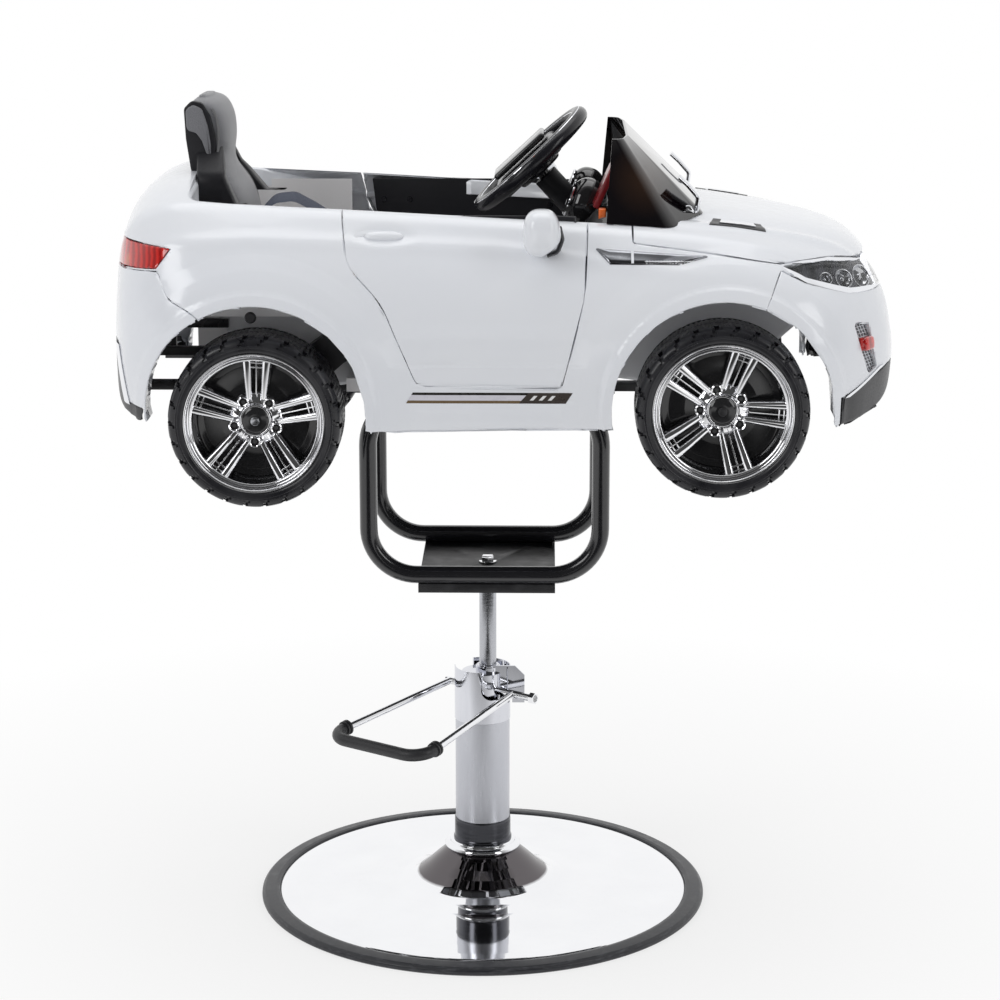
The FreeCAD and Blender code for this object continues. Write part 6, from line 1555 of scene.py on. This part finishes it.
# Door mirrors: pale rounded shells on a curved black foot that clips to the door's shoulder.
def mirror_shell():
    bm = bmesh.new()
    bmesh.ops.create_uvsphere(bm, u_segments=56, v_segments=36, radius=1.0)
    for vert in bm.verts:
        x, y, z = vert.co
        x, y, z = (math.copysign(abs(value) ** 0.72, value) for value in (x, y, z))
        out = (1 - y) / 2
        tall = 32.0 - 6.0 * max(0.0, -z) * (1 - out)
        wide = 23.5 + 2.5 * out - 3.0 * max(0.0, z) * max(0.0, x)
        lift = 13.0 * max(0.0, x) * max(0.0, -z)
        vert.co = Vector((86.0 + wide * x, -277.0 + 34.0 * y, 1031.0 + tall * z + lift - 2.0 * (1 - out)))
    return bm


mirror_bm = mirror_shell()
mirror_left_bm = mirrored_copy(mirror_bm)
install("mirror_shell_right", mirror_bm, white_plastic.material, "door_right", ["mirror_right"], 60.0)
install("mirror_shell_left", mirror_left_bm, white_plastic.material, "door_left", ["mirror_left"], 60.0)
foot_spots = [(x, -262.0, z) for x, z in eased(((93.0, 999.0), (107.0, 1004.0), (113.0, 1020.0), (109.0, 1036.0)), 9.0, steps=5)]
foot_bm = tube_along(foot_spots, 3.2, 12, 12.0)
foot_left_bm = mirrored_copy(foot_bm)
install("mirror_foot_right", foot_bm, trim_black.material, "door_right")
install("mirror_foot_left", foot_left_bm, trim_black.material, "door_left")
# Floor and backdrop: a seamless white sweep, with a faint shadow under the base.
# The lamps are three big soft boxes, and the world is white behind the object and dim in front.
def studio_floor():
    floor_bm = bmesh.new()
    bmesh.ops.create_circle(floor_bm, cap_ends=True, segments=64, radius=40.0)
    mesh = bpy.data.meshes.new("studio_floor")
    floor_bm.to_mesh(mesh)
    floor_bm.free()
    floor = bpy.data.objects.new("studio_floor", mesh)
    bpy.context.scene.collection.objects.link(floor)
    sweep = Finish("white_sweep", (0.93, 0.93, 0.93), 0.6, Specular_IOR_Level=0.2)
    ahead = sweep.span(sweep.axis("Y"), -1.5, -0.6, 0.04, 1.0)
    aside = sweep.span(sweep.axis("X").math("ABSOLUTE"), 0.8, 1.3, 0.0, 1.0)
    seen = sweep.node("ShaderNodeLightPath", output="Is Camera Ray")
    in_front = ahead.math("MAXIMUM", aside).math("MAXIMUM", seen)
    lamp = sweep.node("ShaderNodeEmission", inputs={"Color": (1, 1, 1, 1), "Strength": in_front})
    from_middle = sweep.node("ShaderNodeVectorMath", {"operation": "LENGTH"}, [sweep.place()], output=1)
    far = sweep.span(from_middle, 0.3, 1.4, 0.72, 1.0)
    seen = seen + sweep.node("ShaderNodeLightPath", output="Is Glossy Ray")
    seen = seen + sweep.node("ShaderNodeLightPath", output="Is Transmission Ray")
    mixed = sweep.node("ShaderNodeMixShader", inputs=[far * seen.math("MINIMUM", 1.0)])
    mixer = mixed.socket.node
    sweep.tree.links.new(sweep.shader.outputs[0], mixer.inputs[1])
    sweep.tree.links.new(lamp.socket, mixer.inputs[2])
    sweep.tree.links.new(mixed.socket, sweep.tree.nodes["Material Output"].inputs["Surface"])
    mesh.materials.append(sweep.material)


def soft_box(name, place, aim, width, height, power):
    data = bpy.data.lights.new(name, "AREA")
    data.shape = "RECTANGLE"
    data.size = width
    data.size_y = height
    data.energy = power
    lamp = bpy.data.objects.new(name, data)
    lamp.location = place
    lamp.rotation_euler = (Vector(aim) - Vector(place)).to_track_quat("-Z", "Y").to_euler()
    bpy.context.scene.collection.objects.link(lamp)


studio_floor()
soft_box("soft_box_left", (-2.6, -2.4, 2.6), (0, 0, 0.8), 1.2, 2.2, 32.0)
soft_box("soft_box_right", (2.8, -2.0, 2.2), (0, 0, 0.8), 1.0, 2.2, 20.0)
soft_box("soft_box_top", (0.0, 0.4, 3.4), (0, 0, 0.8), 2.4, 1.8, 18.0)

world = bpy.data.worlds.new("studio")
bpy.context.scene.world = world
world.use_nodes = True
tree = world.node_tree
background = tree.nodes["Background"]
direction = tree.nodes.new("ShaderNodeTexCoord")
axes = tree.nodes.new("ShaderNodeSeparateXYZ")
tree.links.new(direction.outputs["Generated"], axes.inputs[0])
ramp = tree.nodes.new("ShaderNodeMapRange")
tree.links.new(axes.outputs["Y"], ramp.inputs["Value"])
for socket, value in (("From Min", -0.45), ("From Max", 0.15), ("To Min", 0.06), ("To Max", 1.0)):
    ramp.inputs[socket].default_value = value
path = tree.nodes.new("ShaderNodeLightPath")
level = ramp.outputs["Result"]
for ray, strength in (("Is Diffuse Ray", 0.5), ("Is Camera Ray", 1.0)):
    seen = tree.nodes.new("ShaderNodeMix")
    tree.links.new(path.outputs[ray], seen.inputs[0])
    tree.links.new(level, seen.inputs[2])
    seen.inputs[3].default_value = strength
    level = seen.outputs[0]
tree.links.new(level, background.inputs["Strength"])
background.inputs["Color"].default_value = (1, 1, 1, 1)

# Camera: square in front of the car's right side, a little above it, as in the photograph.
camera_data = bpy.data.cameras.new("camera")
camera_data.lens = 100.8
camera_data.sensor_width = 36.0
camera = bpy.data.objects.new("camera", camera_data)
camera.location = (0.0947, -3.947, 1.5596)
camera.rotation_euler = (math.radians(90 - 13.65), 0.0, math.radians(1.0))
bpy.context.scene.collection.objects.link(camera)
bpy.context.scene.camera = camera
bpy.context.scene.view_settings.view_transform = "Standard"
